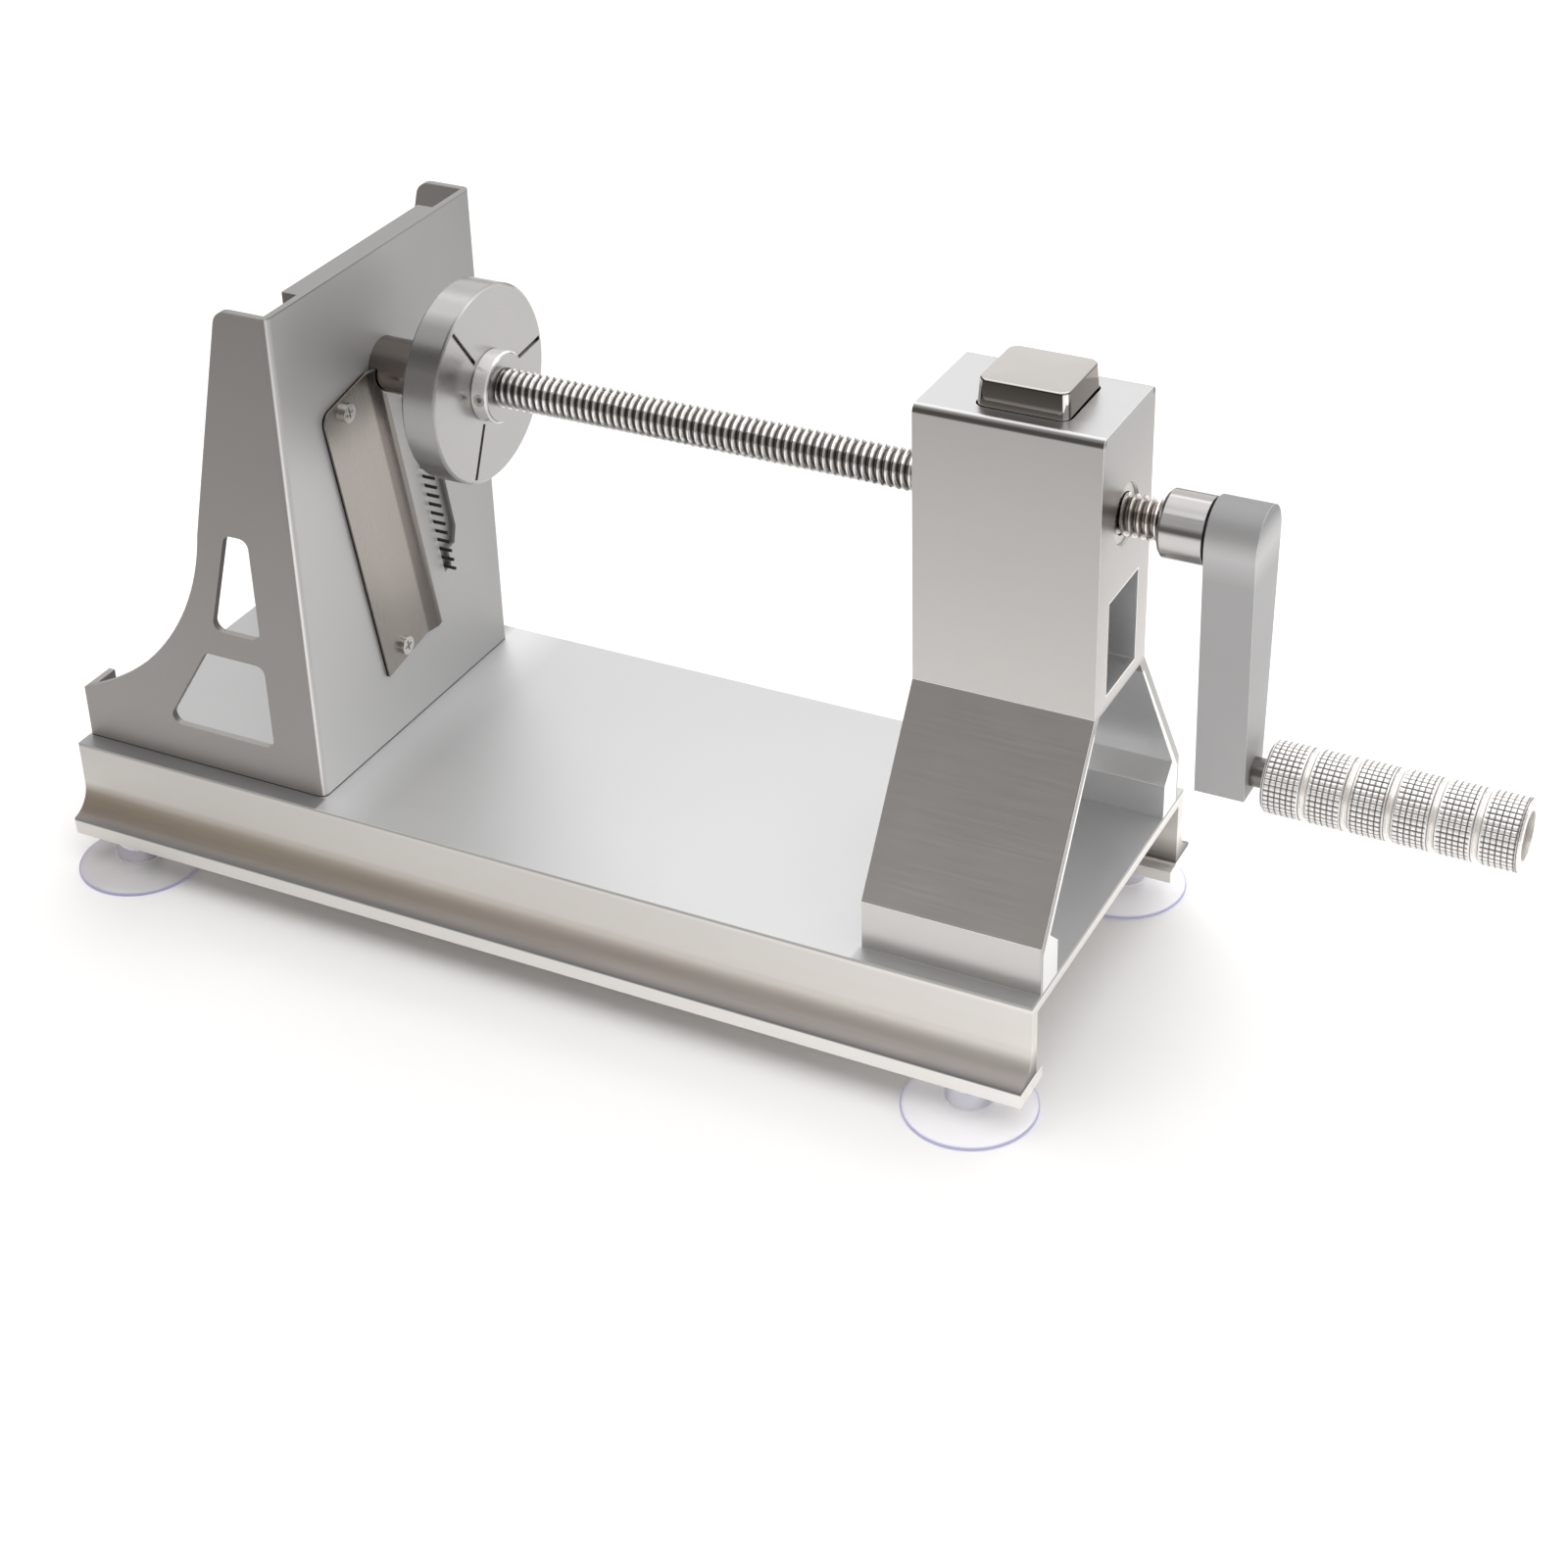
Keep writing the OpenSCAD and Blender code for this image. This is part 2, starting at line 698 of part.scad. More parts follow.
// Post: an extrusion with the screw's bore, the carrier's shaft, the button's well and a window
module screw_post() {
    bore = bush_diameter/2;
    color("gainsboro") difference() {
        at(post_x, 0, base_top) along_x(post_length) difference() {
            post_outline();
            post_tunnel();
            translate([-window_width/2, window_bottom]) square([window_width, window_height]);
        }
        at(post_x - past, 0, axis_z) bar(bore, post_length + 2*past);
        for (x = [post_x, base_length]) at(x, 0, axis_z) rotate([0, x > post_x ? -90 : 90, 0])
            translate([0, 0, -past])
                cylinder(r1 = bore + bore_chamfer + past, r2 = bore, h = bore_chamfer + past);
        at(post_mid_x, 0, shaft_floor) round_block(carrier_length + 2*sliding_fit,
            carrier_width + 2*sliding_fit, post_height, shaft_radius);
        at(button_x, 0, button_well_floor) round_block(button_length + 2*well_gap,
            button_width + 2*well_gap, post_height, button_radius + well_gap);
        post_fixings() translate([0, 0, -past])
            cylinder(d = fixing_shank + 2*fixed_fit, h = foot_inner_height - 1 + past);
    }
}

module post_screws() {
    color("dimgray") post_fixings() fixing_screw(foot_inner_height - 2);
}

// Bushes: rings that guide the screw's crests on both sides of the carrier's shaft
bush_length = (post_length - carrier_length)/2 - sliding_fit - bush_recess - 1;
module bush() {
    difference() {
        bar(bush_diameter/2 - fixed_fit, bush_length);
        translate([-past, 0, 0]) bar(crest_radius + bush_play, bush_length + 2*past);
    }
}

module front_bush() {
    color("goldenrod") at(post_x + bush_recess, 0, axis_z) bush();
}

module rear_bush() {
    color("goldenrod") at(base_length - bush_recess - bush_length, 0, axis_z) bush();
}

// A coil along Z: one unbroken tube of rings round a helix, with closed ends
coil_rings = 8;
coil_sides = 6;
function coil_point(radius, height, curls, s) =
    let (turn = 360*s/coil_rings) [radius*cos(turn), radius*sin(turn), height*s/(coil_rings*curls)];
function coil_points(radius, wire, height, curls) =
    [for (s = [0:coil_rings*curls]) let (
        middle = coil_point(radius, height, curls, s),
        out = unit([middle.x, middle.y, 0])
    ) for (k = [0:coil_sides - 1]) middle + wire/2*(cos(60*k)*out + sin(60*k)*[0, 0, 1])];
module coil(radius, wire, height, curls) {
    last = coil_rings*curls;
    points = coil_points(radius, wire, height, curls);
    echo(least_gap_between_curls = height/curls - wire);
    sides = [for (s = [0:last - 1], k = [0:coil_sides - 1]) let (
        a = s*coil_sides + k,
        b = s*coil_sides + (k + 1) % coil_sides
    ) each [[a, a + coil_sides, b], [b, a + coil_sides, b + coil_sides]]];
    caps = [for (k = [1:coil_sides - 2]) each [[0, k, k + 1],
        [last*coil_sides, last*coil_sides + k + 1, last*coil_sides + k]]];
    polyhedron(points, concat(sides, caps));
}

// Return springs under the carrier
module return_springs() {
    height = spring_top - shaft_floor - spring_wire - 2*spring_seat;
    color("gray") for (side = [-1, 1])
        at(post_mid_x + side*spring_offset, 0, shaft_floor + spring_wire/2 + spring_seat)
            coil(spring_diameter/2 - spring_wire/2, spring_wire, height, spring_curls);
}

// Button: a cap on the carrier, held by a spigot
module release_button() {
    height = base_top + post_height + button_proud - carrier_top;
    color("dimgray") {
        at(button_x, 0, carrier_top) round_block(button_length, button_width, height, button_radius);
        at(post_mid_x, 0, carrier_top - button_spigot)
            cylinder(d = button_spigot_diameter, h = button_spigot + past);
    }
}

// Nut carrier: its slot lets the screw pass when the button is pressed
module nut_carrier() {
    slot_height = release_travel + carrier_spare;
    cut_x = post_mid_x - carrier_length/2 - past;
    cut_length = carrier_length + 2*past;
    color("darkgray") difference() {
        at(post_mid_x, 0, carrier_bottom)
            round_block(carrier_length, carrier_width, carrier_top - carrier_bottom, carrier_radius);
        at(cut_x, 0, axis_z) bar(nut_seat_radius, cut_length);
        at(cut_x, 0, axis_z + slot_height) bar(nut_slot_radius, cut_length);
        at(cut_x, -nut_slot_radius, axis_z) cube([cut_length, 2*nut_slot_radius, slot_height]);
        at(post_mid_x, 0, carrier_top - button_spigot - sliding_fit)
            cylinder(d = button_spigot_diameter + 2*fixed_fit, h = button_spigot + sliding_fit + past);
        for (side = [-1, 1]) at(post_mid_x + side*spring_offset, 0, carrier_bottom - past)
            cylinder(d = spring_diameter + 2*sliding_fit, h = spring_pocket + past);
    }
}

// A point on a helix of the feed thread: x is the place along the axis at angle 0
function thread_point(x, radius, angle) =
    [x + thread_pitch*angle/360, radius*cos(angle), radius*sin(angle)];

// Lead screw: a crest and a root helix joined by two flanks, closed by a fan at one end
// and by a bore with as many sides as the helix has steps at the other
module lead_screw() {
    x = thread_start_x;
    n = thread_segments;
    step = 360/n;
    last = thread_turns*n;
    bore_radius = (spigot_diameter/2 + running_fit)/cos(step/2);
    bore_x = [x + thread_pitch*(thread_turns + 0.5), thread_end_x - spigot_depth - sliding_fit];
    crests = [for (s = [0:last + n]) thread_point(x, crest_radius, s*step)];
    roots = [for (s = [0:last]) thread_point(x + thread_pitch/2, root_radius, s*step)];
    mouth = [for (k = [0:n - 1]) [bore_x[0], bore_radius*cos(k*step), bore_radius*sin(k*step)]];
    bottom = [for (k = [0:n - 1]) [bore_x[1], bore_radius*cos(k*step), bore_radius*sin(k*step)]];
    tips = [[x + thread_pitch/2, 0, 0], [bore_x[1], 0, 0]];
    root_at = len(crests);
    mouth_at = root_at + len(roots);
    bottom_at = mouth_at + n;
    tip_at = bottom_at + n;
    flanks = [for (s = [0:last - 1]) let (c = s, r = root_at + s) each [
        [c, c + 1, r], [r, c + 1, r + 1],
        [r, r + 1, c + n], [c + n, r + 1, c + n + 1]]];
    left_fan = [for (s = [0:n - 1]) [tip_at, s + 1, s]];
    left_end = concat(left_fan, [[tip_at, root_at, n], [tip_at, 0, root_at]]);
    right_end = concat(
        [for (k = [0:n - 1]) let (c = last + k, m = mouth_at + k, next = mouth_at + (k + 1) % n) each [
            [m, c, c + 1], [m, c + 1, next]]],
        [[mouth_at, last + n, root_at + last], [mouth_at, root_at + last, last]]);
    bore = [for (k = [0:n - 1]) let (m = mouth_at + k, next = mouth_at + (k + 1) % n) each [
        [m, next, m + n], [next, next + n, m + n], [tip_at + 1, m + n, next + n]]];
    color("dimgray") at(0, 0, axis_z)
        polyhedron(concat(crests, roots, mouth, bottom, tips), concat(flanks, left_end, right_end, bore));
}

// Spigot: a plain pin in the screw's end that carries collar and crank
module crank_spigot() {
    color("gray") at(thread_end_x - spigot_depth, 0, axis_z)
        bar(spigot_diameter/2, spigot_depth + arm_x + spigot_reach - thread_end_x);
}

// Half nut: the lower part of a nut whose thread follows the screw's helix with a clearance
module half_nut() {
    points_in_column = 2*nut_turns + 3;
    nut_length = nut_turns*thread_pitch;
    turns_before = floor((post_mid_x - nut_length/2 - thread_start_x)/thread_pitch) - 1;
    start = thread_start_x + turns_before*thread_pitch;
    step = 360/thread_segments;
    function column(angle) = concat(
        [for (m = [0:2*nut_turns]) thread_point(start + m*thread_pitch/2,
            (m % 2 == 0 ? crest_radius : root_radius) + thread_clearance, angle)],
        [for (x = [start + nut_length, start]) thread_point(x, nut_wall_radius, angle)]);
    points = [for (k = [0:nut_segments]) each column(nut_first_angle + k*step)];
    sides = [for (k = [0:nut_segments - 1], i = [0:points_in_column - 1]) let (
        a = k*points_in_column + i,
        b = k*points_in_column + (i + 1) % points_in_column
    ) each [[a, b, a + points_in_column], [b, b + points_in_column, a + points_in_column]]];
    far = nut_segments*points_in_column;
    wall = points_in_column - 1;
    teeth = [for (m = [0:2:2*nut_turns - 2]) each [[m, m + 1, m + 2], [wall, m, m + 2]]];
    cap = concat(teeth, [[wall, 2*nut_turns, wall - 1]]);
    caps = concat([for (t = cap) [t[2], t[1], t[0]]], [for (t = cap) [far + t[0], far + t[1], far + t[2]]]);
    color("darkgoldenrod") at(0, 0, axis_z) polyhedron(points, concat(sides, caps));
}

// Places of the fins round the disc
module fin_places() {
    for (i = [0:fin_count - 1])
        at(disc_back_x, 0, axis_z) rotate([fin_turn + 360/fin_count*i, 0, 0]) children();
}

// Disc: slotted for the fins, with a hub that takes the screw's end
module pusher_disc() {
    radius = disc_diameter/2;
    color("silver") difference() {
        at(disc_back_x, 0, axis_z) rotate([0, 90, 0]) rotate_extrude()
            polygon([[0, 0], [radius - disc_chamfer, 0], [radius, disc_chamfer],
                [radius, disc_thickness - disc_chamfer], [radius - disc_chamfer, disc_thickness],
                [hub_diameter/2, disc_thickness],
                [hub_diameter/2, disc_thickness + hub_length - disc_chamfer],
                [hub_diameter/2 - disc_chamfer, disc_thickness + hub_length],
                [0, disc_thickness + hub_length]]);
        at(hub_bore_end_x, 0, axis_z) bar(crest_radius + running_fit, hub_end_x - hub_bore_end_x + past);
        fin_places() translate([-past, fin_inner, -fin_thickness/2 - fin_gap])
            cube([disc_thickness + 2*past, fin_outer - fin_inner, fin_thickness + 2*fin_gap]);
        hub_screw_place() translate([0, 0, -hub_diameter/2])
            cylinder(d = set_screw_diameter + 2*fixed_fit, h = hub_diameter);
    }
}

// The hub's set screw points in from the side
module hub_screw_place() {
    at(hub_end_x - hub_length/2, 0, axis_z) rotate([90, 0, 0])
        translate([0, 0, hub_diameter/2 - set_screw_sink]) children();
}

module hub_set_screw() {
    color("dimgray") hub_screw_place()
        set_screw(hub_diameter/2 - set_screw_sink - crest_radius - set_screw_tip_gap);
}

// A set screw that points down, with a hexagon socket in its top
module set_screw(length) {
    translate([0, 0, -length]) difference() {
        cylinder(d = set_screw_diameter, h = length);
        translate([0, 0, length - set_screw_socket.y])
            cylinder(d = set_screw_socket.x, h = set_screw_socket.y + past, $fn = 6);
    }
}

// Fins: pointed blades through the disc's slots, longest near the axis
module gripper_fins() {
    depth = disc_thickness - fin_recess;
    width = fin_outer - fin_inner - 2*fin_gap;
    points = [[0, 0], [depth, 0], [depth, width], [0, width], [-fin_reach*0.45, width*0.7],
        [-fin_reach*0.3, width*0.5], [-fin_reach, width*0.25]];
    color("gray") fin_places() translate([0, fin_inner + fin_gap, -fin_thickness/2])
        linear_extrude(fin_thickness) polygon(points);
}

// Collar: a loose sleeve on the spigot
module crank_collar() {
    chamfer = 1;
    radius = collar_diameter/2;
    color("silver") at(collar_x, 0, axis_z) rotate([0, 90, 0]) rotate_extrude()
        polygon([[spigot_diameter/2 + running_fit, 0], [radius - chamfer, 0], [radius, chamfer],
            [radius, collar_length], [spigot_diameter/2 + running_fit, collar_length]]);
}

module thrust_washer() {
    color("black") at(washer_x, 0, axis_z) difference() {
        bar(collar_diameter/2 - thrust_washer_inset, thrust_washer_thickness);
        translate([-past, 0, 0]) bar(spigot_diameter/2 + running_fit, thrust_washer_thickness + 2*past);
    }
}

// Crank arm: a tapered bar with a round top, bored for the spigot and the grip's axle
module crank_arm() {
    color("silver") difference() {
        at(arm_x, 0, axis_z) {
            bar(arm_top_radius, arm_thickness);
            along_x(arm_thickness) polygon([[-arm_top_radius, 0], [-arm_tip_half_width, arm_bottom],
                [arm_tip_half_width, arm_bottom], [arm_top_radius, 0]]);
        }
        at(arm_x - past, 0, axis_z) bar(spigot_diameter/2 + fixed_fit, spigot_reach + past + sliding_fit);
        at(arm_end_x - axle_depth - sliding_fit, 0, grip_z)
            bar(journal_diameter/2 + fixed_fit, axle_depth + sliding_fit + past);
        crank_screw_place() translate([0, 0, -arm_top_radius])
            cylinder(d = set_screw_diameter + 2*fixed_fit, h = 2*arm_top_radius);
    }
}

// The arm's set screw points in from its far side
module crank_screw_place() {
    at(arm_x + spigot_reach/2, 0, axis_z) rotate([-90, 0, 0])
        translate([0, 0, arm_top_radius - set_screw_sink]) children();
}

module crank_set_screw() {
    color("dimgray") crank_screw_place()
        set_screw(arm_top_radius - set_screw_sink - spigot_diameter/2 - set_screw_tip_gap);
}

// Axle: fixed in the arm, with a shoulder and a journal for the grip
grip_floor_x = grip_end_x - grip_recess_depth;
module grip_axle() {
    color("gray") difference() {
        union() {
            at(arm_end_x - axle_depth, 0, grip_z)
                bar(journal_diameter/2, axle_depth + grip_floor_x - arm_end_x + running_fit);
            at(arm_end_x, 0, grip_z) bar(shoulder_diameter/2, grip_gap - sliding_fit);
        }
        at(grip_floor_x - grip_screw_depth, 0, grip_z)
            bar(grip_screw_shank/2 + fixed_fit, grip_screw_depth + past);
    }
}

// Grip: a grooved sleeve that turns on the axle, with a recess for the end screw
module grip_sleeve() {
    radius = grip_diameter/2;
    edge = 0.8;
    segment = (grip_length - grip_grooves*groove_width)/(grip_grooves + 1);
    bore = journal_diameter/2 + running_fit;
    outer = concat([[radius - edge, 0], [radius, edge]],
        [for (i = [1:grip_grooves]) let (x = i*segment + (i - 1)*groove_width) each [[radius, x],
            [radius - groove_depth, x + groove_width*0.35], [radius - groove_depth, x + groove_width*0.65],
            [radius, x + groove_width]]],
        [[radius, grip_length - edge], [radius - edge, grip_length]]);
    color("silver") at(grip_x, 0, grip_z) rotate([0, 90, 0]) rotate_extrude()
        polygon(concat([[bore, 0]], outer, [[grip_recess_diameter/2, grip_length],
            [grip_recess_diameter/2, grip_length - grip_recess_depth],
            [bore, grip_length - grip_recess_depth]]));
}

module grip_washer() {
    color("gray") at(grip_floor_x + running_fit, 0, grip_z) difference() {
        bar(grip_recess_diameter/2 - loose_fit, grip_washer_thickness);
        translate([-past, 0, 0]) bar(grip_screw_shank/2 + running_fit, grip_washer_thickness + 2*past);
    }
}

module grip_end_screw() {
    head_x = grip_floor_x + running_fit + grip_washer_thickness;
    recess = 1.2;
    cross = [4.8, 1];
    color("gainsboro") difference() {
        union() {
            at(head_x, 0, grip_z) bar(grip_screw_head/2, grip_screw_head_height);
            at(grip_floor_x - grip_screw_depth + sliding_fit, 0, grip_z)
                bar(grip_screw_shank/2, grip_screw_depth + running_fit + grip_washer_thickness);
        }
        for (turn = [0, 90]) at(head_x + grip_screw_head_height - recess, 0, grip_z) rotate([turn, 0, 0])
            translate([0, -cross.x/2, -cross.y/2]) cube([recess + past, cross.x, cross.y]);
    }
}

base_extrusion();
suction_cups();
cup_studs();
blade_frame();
frame_screws();
slicing_blade();
blade_screws();
comb_blade();
corer_tube();
screw_post();
post_screws();
front_bush();
rear_bush();
return_springs();
release_button();
nut_carrier();
half_nut();
lead_screw();
pusher_disc();
gripper_fins();
hub_set_screw();
crank_spigot();
crank_collar();
thrust_washer();
crank_arm();
crank_set_screw();
grip_axle();
grip_sleeve();
grip_washer();
grip_end_screw();
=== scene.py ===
# %% [markdown]
# A hand-cranked spiral slicer, dressed for a studio picture.
# The solids were drawn and packed before this script runs, so the lesson starts by loading them as a frame.
# Each step then adds a finish or swaps a plain solid for a finer surface, hung on an empty for its body.

# %% Load the frame
import math

import bpy
import bmesh
import numpy as np
from mathutils import Matrix, Vector


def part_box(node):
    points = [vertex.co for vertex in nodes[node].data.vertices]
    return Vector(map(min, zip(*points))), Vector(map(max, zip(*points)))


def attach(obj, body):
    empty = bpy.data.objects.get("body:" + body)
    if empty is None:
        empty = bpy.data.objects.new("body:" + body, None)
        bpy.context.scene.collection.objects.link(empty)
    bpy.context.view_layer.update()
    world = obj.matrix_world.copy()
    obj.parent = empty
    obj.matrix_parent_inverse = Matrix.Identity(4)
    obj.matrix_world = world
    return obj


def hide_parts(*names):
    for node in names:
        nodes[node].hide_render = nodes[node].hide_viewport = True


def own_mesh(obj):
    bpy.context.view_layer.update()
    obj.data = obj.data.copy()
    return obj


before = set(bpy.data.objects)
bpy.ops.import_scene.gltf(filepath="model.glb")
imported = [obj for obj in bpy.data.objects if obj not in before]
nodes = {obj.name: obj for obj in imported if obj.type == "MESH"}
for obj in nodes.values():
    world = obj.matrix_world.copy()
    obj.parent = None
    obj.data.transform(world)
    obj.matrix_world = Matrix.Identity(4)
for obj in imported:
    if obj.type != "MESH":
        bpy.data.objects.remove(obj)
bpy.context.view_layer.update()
MM = 0.001

# %% [markdown]
# The camera was found by matching corners and edges of the object to the photograph.
# It is kept as three angles, a distance and a focal length. The picture was trimmed below its middle,
# which a small upward shift of the lens repeats, so that upright edges keep the slant that they have there.

# %% Camera
TILT, ROLL, TURN = (math.radians(a) for a in (-59.641, 1.655, -27.513))
AIM_X, AIM_Y, DISTANCE = -78.01*MM, 153.77*MM, 1067.95*MM
FOCAL_PIXELS, FRAME_PIXELS, SENSOR = 2995.0, 1600.0, 36.0
MIDDLE_ROW = 650.0
NEAR_CLIP, FAR_CLIP = 0.05, 50.0

turn_in = Matrix.Rotation(ROLL, 3, "Z") @ Matrix.Rotation(TILT, 3, "X") @ Matrix.Rotation(TURN, 3, "Z")
lens = bpy.data.cameras.new("studio_camera")
lens.sensor_width = SENSOR
lens.lens = FOCAL_PIXELS/FRAME_PIXELS*SENSOR
lens.shift_y = (MIDDLE_ROW - FRAME_PIXELS/2)/FRAME_PIXELS
lens.clip_start, lens.clip_end = NEAR_CLIP, FAR_CLIP
camera = bpy.data.objects.new("studio_camera", lens)
place = turn_in.transposed().to_4x4()
place.translation = Vector((AIM_X, AIM_Y, 0.0)) + turn_in.transposed() @ Vector((0.0, 0.0, DISTANCE))
camera.matrix_world = place
bpy.context.scene.collection.objects.link(camera)
bpy.context.scene.camera = camera
print("camera at", [round(v, 3) for v in camera.location], "lens", round(lens.lens, 2), "mm")

# %% [markdown]
# Shaders are node trees, and long chains of Math nodes are hard to read.
# A small class wraps one socket and overloads the operators, so that a mask can be written as a sum.
# Every mask in this lesson is built from ramps: 0 up to one place, 1 from another, and a straight climb
# between them.

# %% One socket as a number


class Value:
    """One socket of a material's tree that can be added, multiplied, divided and raised."""

    def __init__(self, tree, socket):
        self.tree = tree
        self.socket = socket

    def math(self, operation, *others):
        """One Math node on the given values."""
        node = self.tree.nodes.new("ShaderNodeMath")
        node.operation = operation
        for socket, item in zip(node.inputs, others):
            feed(self.tree, socket, item)
        return Value(self.tree, node.outputs[0])

    def __add__(self, other):
        return self.math("ADD", self, other)

    def __sub__(self, other):
        return self.math("SUBTRACT", self, other)

    def __rsub__(self, other):
        return self.math("SUBTRACT", other, self)

    def __mul__(self, other):
        return self.math("MULTIPLY", self, other)

    def __truediv__(self, other):
        return self.math("DIVIDE", self, other)

    def __pow__(self, other):
        return self.math("POWER", self, other)

    __radd__ = __add__
    __rmul__ = __mul__

    def clamp(self, low=0.0, high=1.0):
        return self.math("MINIMUM", self.math("MAXIMUM", self, low), high)

    def sine(self):
        return self.math("SINE", self)

    def size(self):
        return self.math("ABSOLUTE", self)

    def ramp(self, low, high):
        """0 at low, 1 at high and a straight climb between; low may be the larger."""
        return ((self - low)/(high - low)).clamp()

    def between(self, low, high, soft):
        """1 from low to high and 0 outside, with a climb of the soft width on either side of both."""
        return self.ramp(low - soft, low + soft)*self.ramp(high + soft, high - soft)


def feed(tree, socket, item):
    """Links a socket to a wrapped value, or sets it to a plain number, colour or vector."""
    if isinstance(item, Value):
        tree.links.new(item.socket, socket)
    elif socket.type == "RGBA" and len(item) == 3:
        socket.default_value = (*item, 1.0)
    else:
        socket.default_value = item


print("shader numbers ready")

# %% [markdown]
# A second class builds a material. One method makes any node: it sets the node's own settings first, then
# feeds its sockets. The others are short names for the few kinds that metal needs. Object coordinates come
# out in millimetres, the unit in which the pieces were drawn.

# %% A material under construction
EVEN = (1.0, 1.0, 1.0)
ALONG_X = (0.02, 1.0, 1.0)
ALONG_Z = (1.0, 1.0, 0.02)


class Finish:
    """A material under construction, with a Principled shader at its end."""

    def __init__(self, name, **constants):
        self.material = bpy.data.materials.new(name)
        self.material.use_nodes = True
        self.tree = self.material.node_tree
        self.tree.nodes.clear()
        self.shader = self.tree.nodes.new("ShaderNodeBsdfPrincipled")
        output = self.tree.nodes.new("ShaderNodeOutputMaterial")
        self.tree.links.new(self.shader.outputs[0], output.inputs[0])
        for key, item in constants.items():
            self.set(key, item)

    def set(self, key, item):
        """Feeds one of the shader's sockets, named in lower case with underscores."""
        feed(self.tree, self.shader.inputs[key.replace("_", " ").title().replace("Ior", "IOR")], item)

    def node(self, kind, settings=None, sockets=None, output=0):
        """Any node: its settings are set first, then its sockets are fed. One output comes back wrapped."""
        node = self.tree.nodes.new("ShaderNode" + kind)
        for key, item in (settings or {}).items():
            if key == "stops":
                stops = node.color_ramp.elements
                while len(stops) < len(item):
                    stops.new(0.5)
                for stop, (place, colour) in zip(stops, item):
                    stop.position = place
                    stop.color = (*colour, 1.0)
            else:
                setattr(node, key, item)
        for key, item in (sockets or {}).items():
            feed(self.tree, node.inputs[key], item)
        return Value(self.tree, node.outputs[output])

    def axis(self, name):
        """One object coordinate as a number, in millimetres."""
        return self.node("SeparateXYZ", None, {0: self.node("TexCoord", output="Object")}, output=name)/MM

    def noise(self, scale, stretch=EVEN, detail=3.0, roughness=0.5):
        """Soft noise from 0 to 1 about 0.5; a stretch below 1 on an axis draws it out along that axis."""
        point = self.node("TexCoord", output="Object")
        point = self.node("Mapping", None, {"Vector": point, "Scale": stretch})
        return self.node("TexNoise", None, {"Vector": point, "Scale": scale, "Detail": detail,
                                            "Roughness": roughness})

    def mix(self, factor, first, second):
        """Blends two colours. A Mix node's colours are its inputs 6 and 7 and its output 2."""
        return self.node("Mix", {"data_type": "RGBA"}, {0: factor, 6: first, 7: second}, output=2)

    def along(self, value, low, high, stops):
        """A colour from a list of (place, colour) over a coordinate, all in millimetres."""
        spread = [((at - low)/(high - low), colour) for at, colour in stops]
        return self.node("ValToRGB", {"stops": spread}, {0: value.ramp(low, high)})

    def scaled(self, colour, factor):
        """A colour made darker or lighter by a number or a wrapped value."""
        return self.node("VectorMath", {"operation": "SCALE"}, {0: colour, "Scale": factor})

    def bump(self, height, distance, strength):
        """Turns a height from 0 to 1 into a surface tilt and feeds it to the shader."""
        normal = self.node("Bump", None, {"Height": height, "Distance": distance, "Strength": strength})
        self.set("normal", normal)


print("finish class ready")

# %% [markdown]
# Most of the slicer is satin metal. Real satin metal isn't one flat grey: drawn extrusions have faint lines
# along their length, and handling leaves soft clouds of more or less gloss. Both come from noise, one drawn
# out along the grain and one left round, and they move the colour, the roughness and a very low bump.

# %% Satin metal
CLOUD_SCALE = 28.0
GRAIN_GLOSS, CLOUD_GLOSS = 0.16, 0.14
GRAIN_STRENGTH = 0.35


def satin(name, tint, roughness, grain=EVEN, lines=0.05, clouds=0.06, metallic=1.0, depth=0.02*MM,
          fineness=1800.0):
    """Satin metal: grain lines drawn out along the axis whose grain factor is small, under soft clouds.
    The tint is one colour, or a function that works a colour out from the finish's own coordinates."""
    finish = Finish(name, metallic=metallic)
    line = finish.noise(fineness, grain, detail=2.0)
    cloud = finish.noise(CLOUD_SCALE, detail=4.0, roughness=0.6)
    tone = (line - 0.5)*lines + (cloud - 0.5)*clouds + 1.0
    colour = tint(finish) if callable(tint) else tint
    finish.set("base_color", finish.scaled(colour, tone))
    gloss = (line - 0.5)*GRAIN_GLOSS + (cloud - 0.5)*CLOUD_GLOSS + roughness
    finish.set("roughness", gloss.clamp(0.05, 1.0))
    finish.bump(line, depth, GRAIN_STRENGTH)
    return finish.material


print("satin metal ready")

# %% [markdown]
# The disc, the collar, the screw and the grip come off a lathe, whose tool leaves fine rings round the
# axis. The sine of the distance from the axis draws them on a face, and the sine of x on a rim. A little
# noise in the angle keeps the rings from looking printed.

# %% Turned metal
RINGS_PER_MM = 2.6
RING_WOBBLE = 4.0
RING_DEPTH = 0.01*MM
RING_STRENGTH = 0.3
RING_TONE, TURNED_CLOUD_TONE = 0.06, 0.12
RING_GLOSS, TURNED_CLOUD_GLOSS = 0.1, 0.12


